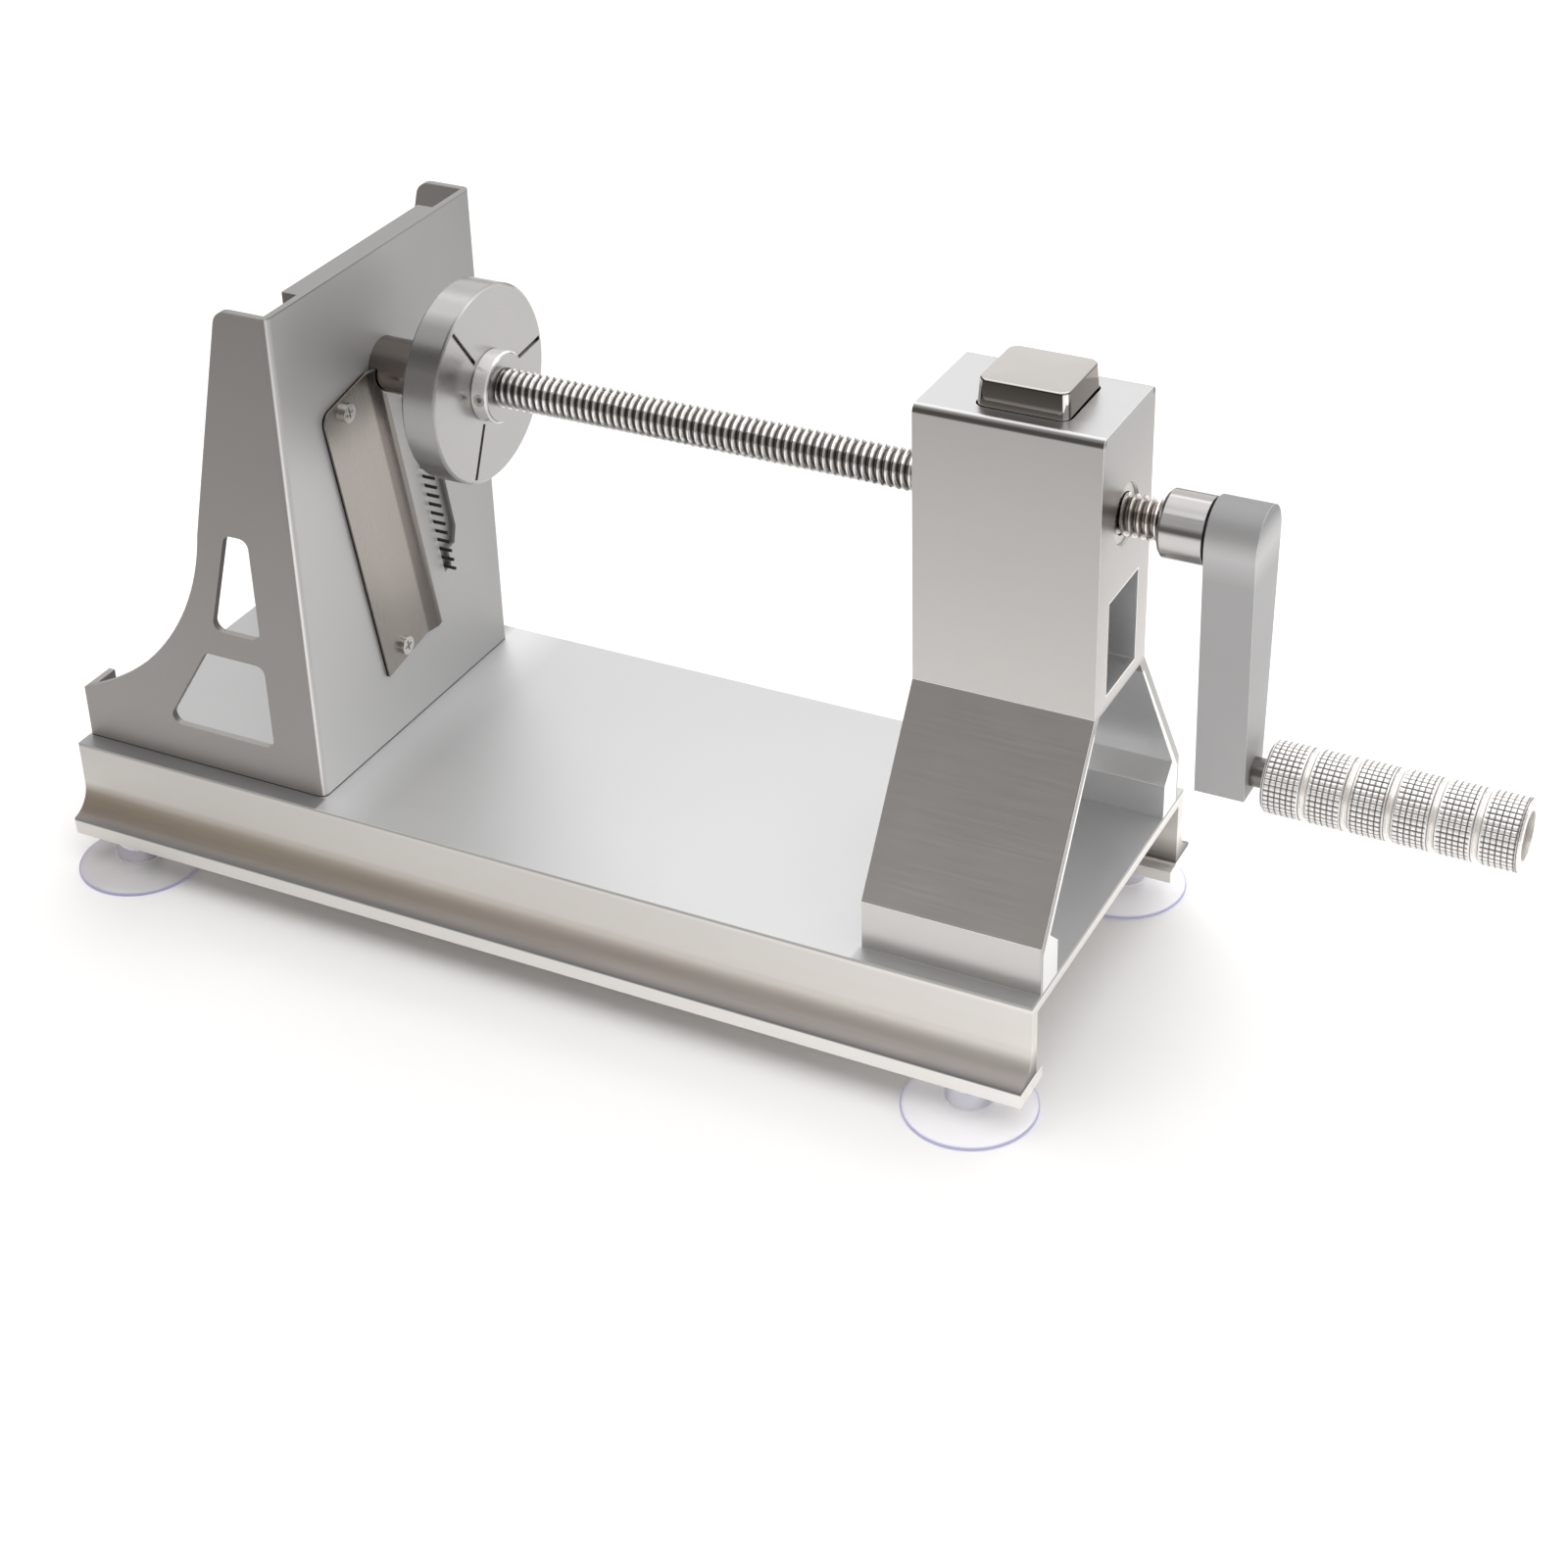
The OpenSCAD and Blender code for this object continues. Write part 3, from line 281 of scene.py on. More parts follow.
def turned(name, tint, roughness, centre, metallic=1.0):
    """Lathe-turned metal: rings about an axis along X, by the sine of the distance from it and of x.
    Tint and metallic are plain values, or functions of the finish and of the distance from the axis."""
    finish = Finish(name)
    y = finish.axis("Y") - centre[1]/MM
    z = finish.axis("Z") - centre[2]/MM
    radius = (y*y + z*z)**0.5
    wobble = finish.noise(900.0, detail=1.0)*RING_WOBBLE
    ring = ((radius + finish.axis("X"))*(RINGS_PER_MM*2.0*math.pi) + wobble).sine()*0.5 + 0.5
    cloud = finish.noise(60.0)
    tone = (ring - 0.5)*RING_TONE + (cloud - 0.5)*TURNED_CLOUD_TONE + 1.0
    gloss = (ring - 0.5)*RING_GLOSS + (cloud - 0.5)*TURNED_CLOUD_GLOSS + roughness
    finish.set("metallic", metallic(finish, radius) if callable(metallic) else metallic)
    finish.set("base_color", finish.scaled(tint(finish, radius) if callable(tint) else tint, tone))
    finish.set("roughness", gloss.clamp(0.04, 1.0))
    finish.bump(ring, RING_DEPTH, RING_STRENGTH)
    return finish.material


print("turned metal ready")

# %% [markdown]
# Large pieces don't have one tint either, and much of it is painted light and shade: the sheet's wings
# get painted shade, the hollow of the base's skirt a painted brown reflection of the surroundings, and the
# post painted light that grows paler towards its feet. A painted picture could hold that, but the piece
# would have to be unwrapped for it. Here each tint is a ramp over one coordinate, or a blend of two colours
# by a mask, and most places come from the frame's own boxes.

# %% Places for the tints


def in_mm(corners):
    """Both corners of a box in millimetres."""
    return [[v/MM for v in corner] for corner in corners]


(BASE_LEFT, _, BASE_LOW), (BASE_RIGHT, BASE_HALF, BASE_TOP) = in_mm(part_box("base_extrusion"))
(POST_LEFT, _, _), (POST_RIGHT, _, POST_TOP) = in_mm(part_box("screw_post"))
PLATE_X, HALF_FRAME, FRAME_TOP = in_mm(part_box("blade_frame"))[1]
BUTTON_LOW, BUTTON_HIGH = in_mm(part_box("release_button"))
DISC_LOW, DISC_HIGH = in_mm(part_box("pusher_disc"))
COLLAR_LOW, COLLAR_HIGH = in_mm(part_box("crank_collar"))
print("base top", round(BASE_TOP, 2), "plate face", round(PLATE_X, 2), "post top", round(POST_TOP, 2), "mm")

# %% [markdown]
# The base is a drawn extrusion whose tint is mostly painted light: a pale lip at the foot, a dark painted
# shadow line over it, a hollow with a painted brown reflection, and a pale skirt with a painted highlight
# and shade at its top edge. The left end gets more painted shade than the right, so two ramps over the
# height are blended along the length. Its flat top is a cooler grey, with painted shade behind the plate
# and on the far side, painted light before the plate, and painted reflections in the strips beside the
# frame and the post.

# %% Tint of the base
# Both skirt ramps are painted light: pale lip, painted shadow line, painted brown reflection in the hollow,
# painted highlight at the top edge; the left one has more painted shade.
LEFT_SKIRT_PAINTED_LIGHT = [
    (10.5, (0.70, 0.68, 0.65)), (15.1, (0.70, 0.68, 0.65)), (15.5, (0.205, 0.208, 0.212)),
    (16.2, (0.205, 0.208, 0.212)), (16.6, (0.23, 0.21, 0.19)), (17.5, (0.205, 0.175, 0.145)),
    (19.5, (0.33, 0.275, 0.215)), (21.0, (0.34, 0.285, 0.225)), (22.5, (0.34, 0.285, 0.23)),
    (24.0, (0.46, 0.425, 0.385)), (26.0, (0.61, 0.59, 0.555)), (28.0, (0.595, 0.575, 0.545)),
    (39.3, (0.55, 0.53, 0.505)), (39.9, (0.34, 0.33, 0.32))]
RIGHT_SKIRT_PAINTED_LIGHT = [
    (10.5, (0.98, 0.96, 0.935)), (14.9, (0.98, 0.96, 0.935)), (15.3, (0.18, 0.18, 0.185)),
    (16.1, (0.18, 0.18, 0.185)), (16.5, (0.28, 0.265, 0.255)), (17.5, (0.32, 0.295, 0.28)),
    (18.5, (0.41, 0.38, 0.36)), (19.5, (0.50, 0.47, 0.445)), (22.5, (0.74, 0.705, 0.665)),
    (24.0, (0.87, 0.84, 0.80)), (26.0, (0.93, 0.90, 0.865)), (31.0, (0.855, 0.83, 0.795)),
    (38.0, (0.825, 0.80, 0.77)), (39.2, (0.95, 0.93, 0.90)), (39.8, (0.45, 0.44, 0.43))]
# The strip grey is a painted reflection; the factors after it paint shade on the far side and behind the
# plate, and light before it.
TOP_GREY, STRIP_PAINTED_REFLECTION = (0.58, 0.585, 0.59), (0.34, 0.34, 0.345)
FAR_SIDE_SHADE, BEHIND_PLATE_SHADE, BEFORE_PLATE_LIGHT, POST_STRIP_REFLECTION = -0.12, -0.22, 0.2, 0.55


def base_tint(finish):
    """The skirt's two ramps of painted light over z, blended along x, under a top with painted shade behind
    the plate and on the far side, painted light before it and painted reflections in the near strips beside
    the frame and the post."""
    x, y, z = (finish.axis(name) for name in "XYZ")
    left_shading = finish.along(z, BASE_LOW, BASE_TOP, LEFT_SKIRT_PAINTED_LIGHT)
    right_shading = finish.along(z, BASE_LOW, BASE_TOP, RIGHT_SKIRT_PAINTED_LIGHT)
    skirt = finish.mix(x.ramp(BASE_LEFT, BASE_RIGHT), left_shading, right_shading)
    reflection_strips = (x.ramp(PLATE_X + 1.0, PLATE_X) + x.ramp(POST_LEFT - 1.0, POST_LEFT)*POST_STRIP_REFLECTION).clamp()
    reflection_strips = reflection_strips*y.ramp(0.2 - HALF_FRAME, -0.4 - HALF_FRAME)
    behind = x.ramp(PLATE_X - 2.0, PLATE_X - 4.0)
    before = x.ramp(PLATE_X + 20.0, PLATE_X + 6.0)*x.ramp(PLATE_X - 2.0, PLATE_X)
    upper = finish.scaled(TOP_GREY, y.ramp(-BASE_HALF, BASE_HALF)*FAR_SIDE_SHADE + 1.0)
    upper = finish.scaled(upper, behind*BEHIND_PLATE_SHADE + 1.0)
    upper = finish.scaled(upper, before*BEFORE_PLATE_LIGHT + 1.0)
    upper = finish.mix(reflection_strips, upper, STRIP_PAINTED_REFLECTION)
    return finish.mix(z.ramp(BASE_TOP - 0.35, BASE_TOP - 0.15), skirt, upper)


print("base tint with", len(LEFT_SKIRT_PAINTED_LIGHT) + len(RIGHT_SKIRT_PAINTED_LIGHT), "stops")

# %% [markdown]
# The post is one casting: a column on two splayed legs with a tunnel between them and a window above it.
# Its tint is painted light and shade: the feet are pale, the column darkens upwards to a painted shade line
# along its round shoulders, the end faces get painted shade, and the walls inside the window and between
# the legs are painted bright, for the light that falls into them from both ends.

# %% Tint of the post
COLUMN_HALF = 17.5
WINDOW_HALF, WINDOW_LOW, WINDOW_HIGH = 11.3, 113.6, 143.4
LEG_SLOPE, LEG_INSIDE = 0.65, 88.0
TUNNEL_TOP, TUNNEL_HALF = 105.5, 53.25
SHOULDER_LOW, SHOULDER_HIGH = 193.6, 195.8
COLUMN_END_SHADE, LEG_END_SHADE = -0.1, -0.3
# The heights are painted light and shade: pale feet, darker upwards, a lighter top face.
POST_LIGHT_BY_HEIGHT = [
    (40.5, (0.62, 0.605, 0.59)), (56.0, (0.62, 0.605, 0.59)), (57.0, (0.58, 0.565, 0.55)),
    (80.0, (0.545, 0.53, 0.515)), (110.0, (0.49, 0.475, 0.465)), (110.8, (0.55, 0.535, 0.52)),
    (150.0, (0.46, 0.447, 0.435)), (193.0, (0.375, 0.366, 0.358)), (195.6, (0.38, 0.375, 0.37)),
    (196.0, (0.505, 0.507, 0.512))]
SHOULDER_PAINTED_SHADE, INNER_WALLS_PAINTED_LIGHT = (0.14, 0.135, 0.13), (0.95, 0.955, 0.96)


def post_tint(finish):
    """A ramp of painted light over z, painted shade on the end faces and in a line along the shoulders, and
    painted light on the inner walls.
    """
    z = finish.axis("Z")
    side = finish.axis("Y").size()
    window = side.ramp(WINDOW_HALF + 0.1, WINDOW_HALF - 0.1)*z.between(WINDOW_LOW, WINDOW_HIGH, 0.2)
    tunnel = (z*LEG_SLOPE + side).ramp(LEG_INSIDE + 0.2, LEG_INSIDE - 0.2)
    tunnel = tunnel*z.ramp(TUNNEL_TOP + 0.5, TUNNEL_TOP - 0.5)
    tunnel = tunnel*side.ramp(TUNNEL_HALF + 0.25, TUNNEL_HALF - 0.25)
    shoulder = side.ramp(COLUMN_HALF - 0.5, COLUMN_HALF - 0.2)
    shoulder = shoulder*z.ramp(SHOULDER_LOW, SHOULDER_LOW + 0.4)*z.ramp(SHOULDER_HIGH, SHOULDER_HIGH - 0.3)
    end = finish.axis("X").ramp(POST_RIGHT - 0.4, POST_RIGHT - 0.2)
    shade = z.ramp(140.0, 185.0)*COLUMN_END_SHADE + z.ramp(112.0, 108.0)*LEG_END_SHADE
    heights = finish.scaled(finish.along(z, BASE_TOP, POST_TOP, POST_LIGHT_BY_HEIGHT), end*shade + 1.0)
    outside = finish.mix(shoulder, heights, SHOULDER_PAINTED_SHADE)
    return finish.mix((window + tunnel).clamp(), outside, INNER_WALLS_PAINTED_LIGHT)


print("post tint with", len(POST_LIGHT_BY_HEIGHT), "stops")

# %% [markdown]
# The blade frame is one bent sheet, and its tint is painted light and shade. Its plate faces the light and
# is painted palest at its near foot, the wings and the upper rim get painted shade, and a bend gets a
# painted highlight, because somewhere on its round it faces a lamp. A thin painted shadow where the sheet
# stands on the base makes it sit there.

# %% Tint of the blade frame
# Plate and wing ramps are painted light and shade; the rim is painted shade, the bend a painted highlight,
# the seam a painted shadow.
PLATE_PAINTED_LIGHT = [(40.5, (0.62, 0.62, 0.62)), (202.0, (0.46, 0.46, 0.46))]
WING_PAINTED_SHADE = [(40.5, (0.34, 0.325, 0.315)), (202.0, (0.22, 0.21, 0.203))]
RIM_PAINTED_SHADE, BEND_HIGHLIGHT, SEAM_SHADOW = (0.25, 0.245, 0.24), (0.88, 0.87, 0.86), (0.06, 0.058, 0.056)
NEAR_PLATE_LIGHT, ACROSS_PLATE_SHADE = 1.13, -0.44


def frame_tint(finish):
    """Painted light and shade over z for plate and wings, which meet at the bend, where x + |y| is largest;
    a painted highlight on the bend, painted shade on the rim and a painted shadow at the foot.
    """
    x, y, z = (finish.axis(name) for name in "XYZ")
    plate = finish.along(z, BASE_TOP, FRAME_TOP, PLATE_PAINTED_LIGHT)
    plate = finish.scaled(plate, y.ramp(-HALF_FRAME, HALF_FRAME)*ACROSS_PLATE_SHADE + NEAR_PLATE_LIGHT)
    wing = finish.along(z, BASE_TOP, FRAME_TOP, WING_PAINTED_SHADE)
    sheet = finish.mix(x.ramp(PLATE_X - 0.8, PLATE_X - 1.1), plate, wing)
    sheet = finish.mix(z.ramp(FRAME_TOP - 0.6, FRAME_TOP - 0.2), sheet, RIM_PAINTED_SHADE)
    corner = PLATE_X + HALF_FRAME
    bend = (x + y.size()).ramp(corner - 1.60, corner - 1.54)*z.ramp(230.0, 130.0)
    sheet = finish.mix(bend, sheet, BEND_HIGHLIGHT)
    return finish.mix(z.ramp(BASE_TOP + 0.5, BASE_TOP + 0.3), sheet, SEAM_SHADOW)


print("frame tint, bend at", round(PLATE_X + HALF_FRAME, 2), "mm")

# %% [markdown]
# The slicing blade is ground steel, screwed to the plate, with a cutting strip that is bent off it and a
# painted shadow along its foot. The comb behind the slot is a strip as grey as the plate with teeth painted
# nearly black, as shade. How far a point stands off the plate tells these apart, so ramps over x are enough
# for both.

# %% Tints of blade and comb
# The blade's dark foot is a painted shadow, and the comb's nearly black teeth are painted shade.
GROUND_STEEL, STRIP_STEEL, BLADE_FOOT_SHADOW = (0.33, 0.303, 0.278), (0.20, 0.178, 0.163), (0.03, 0.027, 0.025)
COMB_STRIP, COMB_TEETH_SHADE = (0.40, 0.40, 0.40), (0.03, 0.028, 0.027)


def blade_tint(finish):
    """Ground steel with a darker cutting strip, which stands off the plate, and a painted shadow along its
    foot against it.
    """
    x = finish.axis("X")
    steel = finish.mix(x.ramp(PLATE_X + 1.3, PLATE_X + 1.6), GROUND_STEEL, STRIP_STEEL)
    return finish.mix(x.ramp(PLATE_X + 0.8, PLATE_X + 0.6), steel, BLADE_FOOT_SHADOW)


def comb_tint(finish):
    """A strip as grey as the plate, with teeth in front of it painted nearly black as shade."""
    return finish.mix(finish.axis("X").ramp(PLATE_X - 2.0, PLATE_X - 1.0), COMB_STRIP, COMB_TEETH_SHADE)


print("blade and comb tints ready")

# %% [markdown]
# The release button is polished, and polished metal shows what stands round it: the top is pale, the sides
# are nearly black and bright lines run down the round corners. An empty studio can't give that, so the tint
# carries it as painted reflections, with a paler right end too. The crank arm is plain satin with painted
# light and shade over its height: pale at the tip and where the round top begins, dark on the top.

# %% Tints of button and arm
BUTTON_CORNER = 3.0
BUTTON_DRAFT = 0.135
# The button's colours are painted reflections: pale top, nearly black sides, paler right end, bright corner
# lines.
BUTTON_REFLECTIONS = [
    (196.0, (0.50, 0.48, 0.46)), (197.0, (0.34, 0.32, 0.30)), (199.0, (0.07, 0.062, 0.056)),
    (203.3, (0.045, 0.04, 0.036)), (203.6, (0.42, 0.405, 0.39)), (204.0, (0.42, 0.405, 0.39))]
BUTTON_END_REFLECTION, BUTTON_CORNER_GLINTS = (0.21, 0.185, 0.165), (0.85, 0.84, 0.82)
ARM_FOOT, ARM_HEAD = 80.0, 180.0
# The arm's heights are painted light and shade.
ARM_PAINTED_LIGHT = [
    (86.0, (0.48, 0.48, 0.485)), (130.0, (0.43, 0.43, 0.435)), (156.0, (0.43, 0.43, 0.435)),
    (164.0, (0.57, 0.57, 0.575)), (168.0, (0.50, 0.50, 0.505)), (173.0, (0.27, 0.27, 0.275)),
    (176.0, (0.25, 0.25, 0.255))]


def button_tint(finish):
    """Painted reflections: a ramp over z, a paler right end, and bright corners where |x| + |y| from the
    middle is largest.
    """
    x, y, z = (finish.axis(name) for name in "XYZ")
    (left, near, _), (right, far, top) = BUTTON_LOW, BUTTON_HIGH
    sides = finish.along(z, POST_TOP, top, BUTTON_REFLECTIONS)
    below = z.ramp(top - 0.6, top - 0.9)
    sides = finish.mix(x.ramp(right - 1.6, right - 0.9)*below, sides, BUTTON_END_REFLECTION)
    reach = (right - left + far - near)/2 - (2.0 - math.sqrt(2.0))*BUTTON_CORNER
    drawn_in = (z - POST_TOP)*BUTTON_DRAFT
    across = (x - (left + right)/2).size() + (y - (near + far)/2).size() + drawn_in
    return finish.mix(across.ramp(reach - 0.22, reach - 0.12)*below, sides, BUTTON_CORNER_GLINTS)


def arm_tint(finish):
    """Grey, with painted light at the tip and where the round top begins, and painted shade on the top."""
    return finish.along(finish.axis("Z"), ARM_FOOT, ARM_HEAD, ARM_PAINTED_LIGHT)


print("button and arm tints ready")

# %% [markdown]
# On turned pieces the distance from the axis says where a point lies: on a thread's crest or in its root,
# on the disc's hub or rim, on the grip's lands or in the lines of its knurl. Painted highlights on the
# crests over painted shade in the roots make a thread read as a thread from a step away, and the knurl's
# lines get painted shade too.

# %% Tints of screw and grip
SCREW_CORE, SCREW_OUTSIDE = 4.7, 6.0
# Dark roots are painted shade and bright crests painted highlights.
LONG_END_PAINTED_LIGHT = [
    (4.7, (0.12, 0.112, 0.106)), (5.2, (0.25, 0.24, 0.23)), (5.8, (0.78, 0.77, 0.755)),
    (6.0, (0.85, 0.84, 0.83))]
SHORT_END_PAINTED_LIGHT = [
    (4.7, (0.29, 0.255, 0.23)), (5.2, (0.37, 0.335, 0.31)), (5.8, (0.72, 0.69, 0.66)),
    (6.0, (0.80, 0.78, 0.76))]
GRIP_GROOVE, GRIP_OUTSIDE = 9.4, 10.5
# The dark rings at the knurl's lines are painted shade.
GRIP_RADII_WITH_SHADE = [
    (9.4, (0.95, 0.92, 0.89)), (10.1, (0.95, 0.92, 0.89)), (10.2, (0.10, 0.095, 0.09)),
    (10.32, (0.30, 0.285, 0.27)), (10.44, (0.93, 0.92, 0.91)), (10.5, (0.96, 0.95, 0.94))]


def screw_tint(finish, radius):
    """Painted highlights on the crests over painted shade in the roots, which is lighter on the short end
    beside the crank.
    """
    long_end = finish.along(radius, SCREW_CORE, SCREW_OUTSIDE, LONG_END_PAINTED_LIGHT)
    short_end = finish.along(radius, SCREW_CORE, SCREW_OUTSIDE, SHORT_END_PAINTED_LIGHT)
    return finish.mix(finish.axis("X").ramp(POST_RIGHT - 2.0, POST_RIGHT), long_end, short_end)


def grip_tint(finish, radius):
    """Bright grooves and lands with painted shade in the knurl's lines between, by the distance from the
    grip's axis.
    """
    return finish.along(radius, GRIP_GROOVE, GRIP_OUTSIDE, GRIP_RADII_WITH_SHADE)


print("screw and grip tints ready")

# %% [markdown]
# The pusher disc has a hub on its face with a painted highlight, for the lamp it catches, and a rim with
# painted shade, darkest over one stretch. The collar is a plain ring whose bands are painted reflections,
# what a small bright cylinder shows of the things round it. It doesn't turn with the crank, so its bands
# can be set by height.

# %% Tints of disc and collar
HUB_RADIUS = 11.0
HUB_START, HUB_END = DISC_HIGH[0] - 5.1, DISC_HIGH[0] - 0.3
HUB_MATT = -0.5
AXIS_Z = (DISC_LOW[2] + DISC_HIGH[2])/2
DISC_RADIUS = (DISC_HIGH[2] - DISC_LOW[2])/2
# The pale hub is a painted highlight and the darker rim painted shade; RIM_SHADE paints its darkest stretch.
DISC_FACE, DISC_RIM_SHADE, HUB_PAINTED_HIGHLIGHT = (0.405, 0.399, 0.393), (0.31, 0.307, 0.303), (0.85, 0.845, 0.84)
SHADED_Y, SHADED_Z = -0.695, 0.719
RIM_SHADE = -0.45
# The collar's bands are painted reflections.
COLLAR_REFLECTIONS = [
    (-1.0, (0.56, 0.545, 0.535)), (0.14, (0.56, 0.545, 0.535)), (0.25, (0.21, 0.207, 0.204)),
    (0.33, (0.26, 0.257, 0.254)), (0.45, (0.80, 0.805, 0.81)), (0.62, (0.80, 0.805, 0.81)),
    (0.70, (0.35, 0.348, 0.346)), (0.80, (0.28, 0.277, 0.274)), (0.90, (0.34, 0.33, 0.325)),
    (1.0, (0.34, 0.33, 0.325))]


def disc_hub(finish, radius):
    """1 round the hub that stands on the disc's face, short of its end, and 0 elsewhere."""
    proud = finish.axis("X").between(HUB_START, HUB_END, 0.1)
    return radius.ramp(HUB_RADIUS + 0.4, HUB_RADIUS + 0.2)*proud


def disc_tint(finish, radius):
    """Grey on the face, a painted highlight round the hub, painted shade round the rim and darkest on its
    upper near side.
    """
    rim = radius.ramp(DISC_RADIUS - 0.5, DISC_RADIUS - 0.25)
    grey = finish.mix(rim, DISC_FACE, DISC_RIM_SHADE)
    towards = finish.axis("Y")*SHADED_Y + (finish.axis("Z") - AXIS_Z)*SHADED_Z
    shade = (towards/radius).ramp(0.95, 0.99)*rim
    return finish.mix(disc_hub(finish, radius), finish.scaled(grey, shade*RIM_SHADE + 1.0), HUB_PAINTED_HIGHLIGHT)


def disc_metallic(finish, radius):
    """The hub reflects less like a mirror than the rest."""
    return disc_hub(finish, radius)*HUB_MATT + 1.0


def collar_tint(finish, radius):
    """Painted reflections: a pale lower half, then a dark band, a bright one and a grey top, by shares of
    the ring's radius.
    """
    middle = (COLLAR_HIGH[2] + COLLAR_LOW[2])/2
    reach = (COLLAR_HIGH[2] - COLLAR_LOW[2])/2
    bands = [(middle + reach*share, colour) for share, colour in COLLAR_REFLECTIONS]
    return finish.along(finish.axis("Z"), middle - reach, middle + reach, bands)


print("disc of radius", round(DISC_RADIUS, 2), "mm on an axis at height", round(AXIS_Z, 2), "mm")

# %% [markdown]
# With the tints in hand, each finish is one line: a name, a tint, a roughness and the way of its grain.
# Bright pieces are true metal. On the large dull ones metal is mixed with some plain grey, which stands for
# the blasted or anodised skin of such parts and keeps them from mirroring the floor.

# %% Finishes


def middle_of(corners):
    """The middle of a box between two corners."""
    return [(a + b)/2 for a, b in zip(*corners)]


disc_middle = middle_of(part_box("pusher_disc"))
grip_middle = middle_of(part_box("grip_sleeve"))
base_metal = satin("base_satin", base_tint, 0.48, ALONG_X, metallic=0.72)
post_metal = satin("post_satin", post_tint, 0.33, ALONG_X)
frame_metal = satin("frame_satin", frame_tint, 0.5, ALONG_Z, metallic=0.55)
arm_metal = satin("arm_satin", arm_tint, 0.5, ALONG_Z, metallic=0.45)
blade_metal = satin("blade_ground", blade_tint, 0.3, ALONG_Z, lines=0.1, fineness=2600.0)
comb_metal = satin("comb_steel", comb_tint, 0.5, metallic=0.55)
fin_metal = satin("fin_steel", (0.42, 0.41, 0.40), 0.3, ALONG_X)
# The two edge finishes are near white: painted highlights on rounded edges.
arm_edge_highlight = satin("arm_edge_highlight", (0.97, 0.97, 0.97), 0.3, lines=0.02)
edge_highlight = satin("painted_edge_highlight", (0.97, 0.965, 0.96), 0.4, lines=0.02, metallic=0.0)
plated_metal = satin("plated_fixings", (0.62, 0.61, 0.59), 0.25, lines=0.03)
# The button's chrome carries painted reflections in its colour.
chrome_painted_reflections = satin("button_chrome_painted_reflections", button_tint, 0.1, lines=0.02, clouds=0.04, depth=0.004*MM)
# The corer's dark brown is a painted reflection of a dark surround on polished steel.
corer_metal = satin("corer_polished", (0.22, 0.195, 0.18), 0.18, ALONG_X, lines=0.1)
axle_metal = satin("axle_dark", (0.20, 0.19, 0.18), 0.25, ALONG_X)
brass_metal = satin("bush_brass", (0.5, 0.475, 0.445), 0.3, lines=0.08)
stud_metal = satin("stud_chrome", (0.62, 0.62, 0.66), 0.1, lines=0.02)
carrier_metal = satin("carrier_milled", (0.4, 0.4, 0.4), 0.32, ALONG_X)
disc_metal = turned("disc_turned", disc_tint, 0.27, disc_middle, metallic=disc_metallic)
collar_metal = turned("collar_turned", collar_tint, 0.17, disc_middle)
screw_metal = turned("screw_polished", screw_tint, 0.16, disc_middle)
grip_metal = turned("grip_bright", grip_tint, 0.3, grip_middle, metallic=0.6)
washer_black = satin("washer_fibre", (0.03, 0.03, 0.03), 0.7, metallic=0.0, lines=0.2)
print("finishes", len(bpy.data.materials))

# %% [markdown]
# Every solid that stays gets its finish here, hidden ones too, because a crank that is turned or a button
# that is pressed can bring them into sight. The five that finer surfaces replace get theirs with those.
# A second material, near white, is a painted highlight for the softened edges of the next step.

# %% Give every solid its finish


def dress(material, *names, edges=None):
    """Puts one material on whole solids, and a second one in the slot that softened edges use."""
    for name in names:
        mesh = nodes[name].data
        mesh.materials.clear()
        mesh.materials.append(material)
        if edges:
            mesh.materials.append(edges)
        print(name, "in", [finish.name for finish in mesh.materials])


dress(base_metal, "base_extrusion")
dress(post_metal, "screw_post", edges=edge_highlight)
dress(frame_metal, "blade_frame")
dress(arm_metal, "crank_arm", edges=arm_edge_highlight)
dress(blade_metal, "slicing_blade")
dress(comb_metal, "comb_blade")
dress(fin_metal, "gripper_fins")
dress(plated_metal, "frame_screws", "post_screws", "blade_screws", "hub_set_screw", "crank_set_screw",
      "grip_washer", "grip_end_screw")
dress(stud_metal, "cup_studs", edges=edge_highlight)
dress(axle_metal, "grip_axle")
dress(corer_metal, "corer_tube")
dress(screw_metal, "crank_spigot")
dress(brass_metal, "front_bush", "rear_bush", "half_nut")
dress(carrier_metal, "nut_carrier")
dress(disc_metal, "pusher_disc")
dress(collar_metal, "crank_collar")
dress(washer_black, "thrust_washer")

# %% [markdown]
# A machined edge is never perfectly sharp, and the thin light line along it is much of what makes metal
# look real; on the post, the arm and the cup studs that line is a painted highlight, the near-white second
# material on the rounded edge. The solids keep their shape: a Weld joins their loose triangles, a planar
# Decimate makes each flat one face, a Bevel rounds only the sharp edges, and the normals are weighted by
# area so that large flats stay flat up to their softened rims.

# %% Soften the solids' edges
JOIN_GAP = 0.002*MM
FLAT_ANGLE = math.radians(0.5)
AREA_WEIGHT = 100


def soften(width, *names, angle=35.0, segments=2):
    """Rounds the sharp edges of solids by a width in millimetres and puts their last material there."""
    for name in names:
        solid = nodes[name]
        weld = solid.modifiers.new("join", "WELD")
        weld.merge_threshold = JOIN_GAP
        flat = solid.modifiers.new("flat_faces", "DECIMATE")
        flat.decimate_type = "DISSOLVE"
        flat.angle_limit = FLAT_ANGLE
        bevel = solid.modifiers.new("edges", "BEVEL")
        bevel.width = width*MM
        bevel.segments = segments
        bevel.limit_method = "ANGLE"
        bevel.angle_limit = math.radians(angle)
        bevel.use_clamp_overlap = True
        bevel.material = len(solid.data.materials) - 1
        weighted = solid.modifiers.new("flats", "WEIGHTED_NORMAL")
        weighted.weight = AREA_WEIGHT


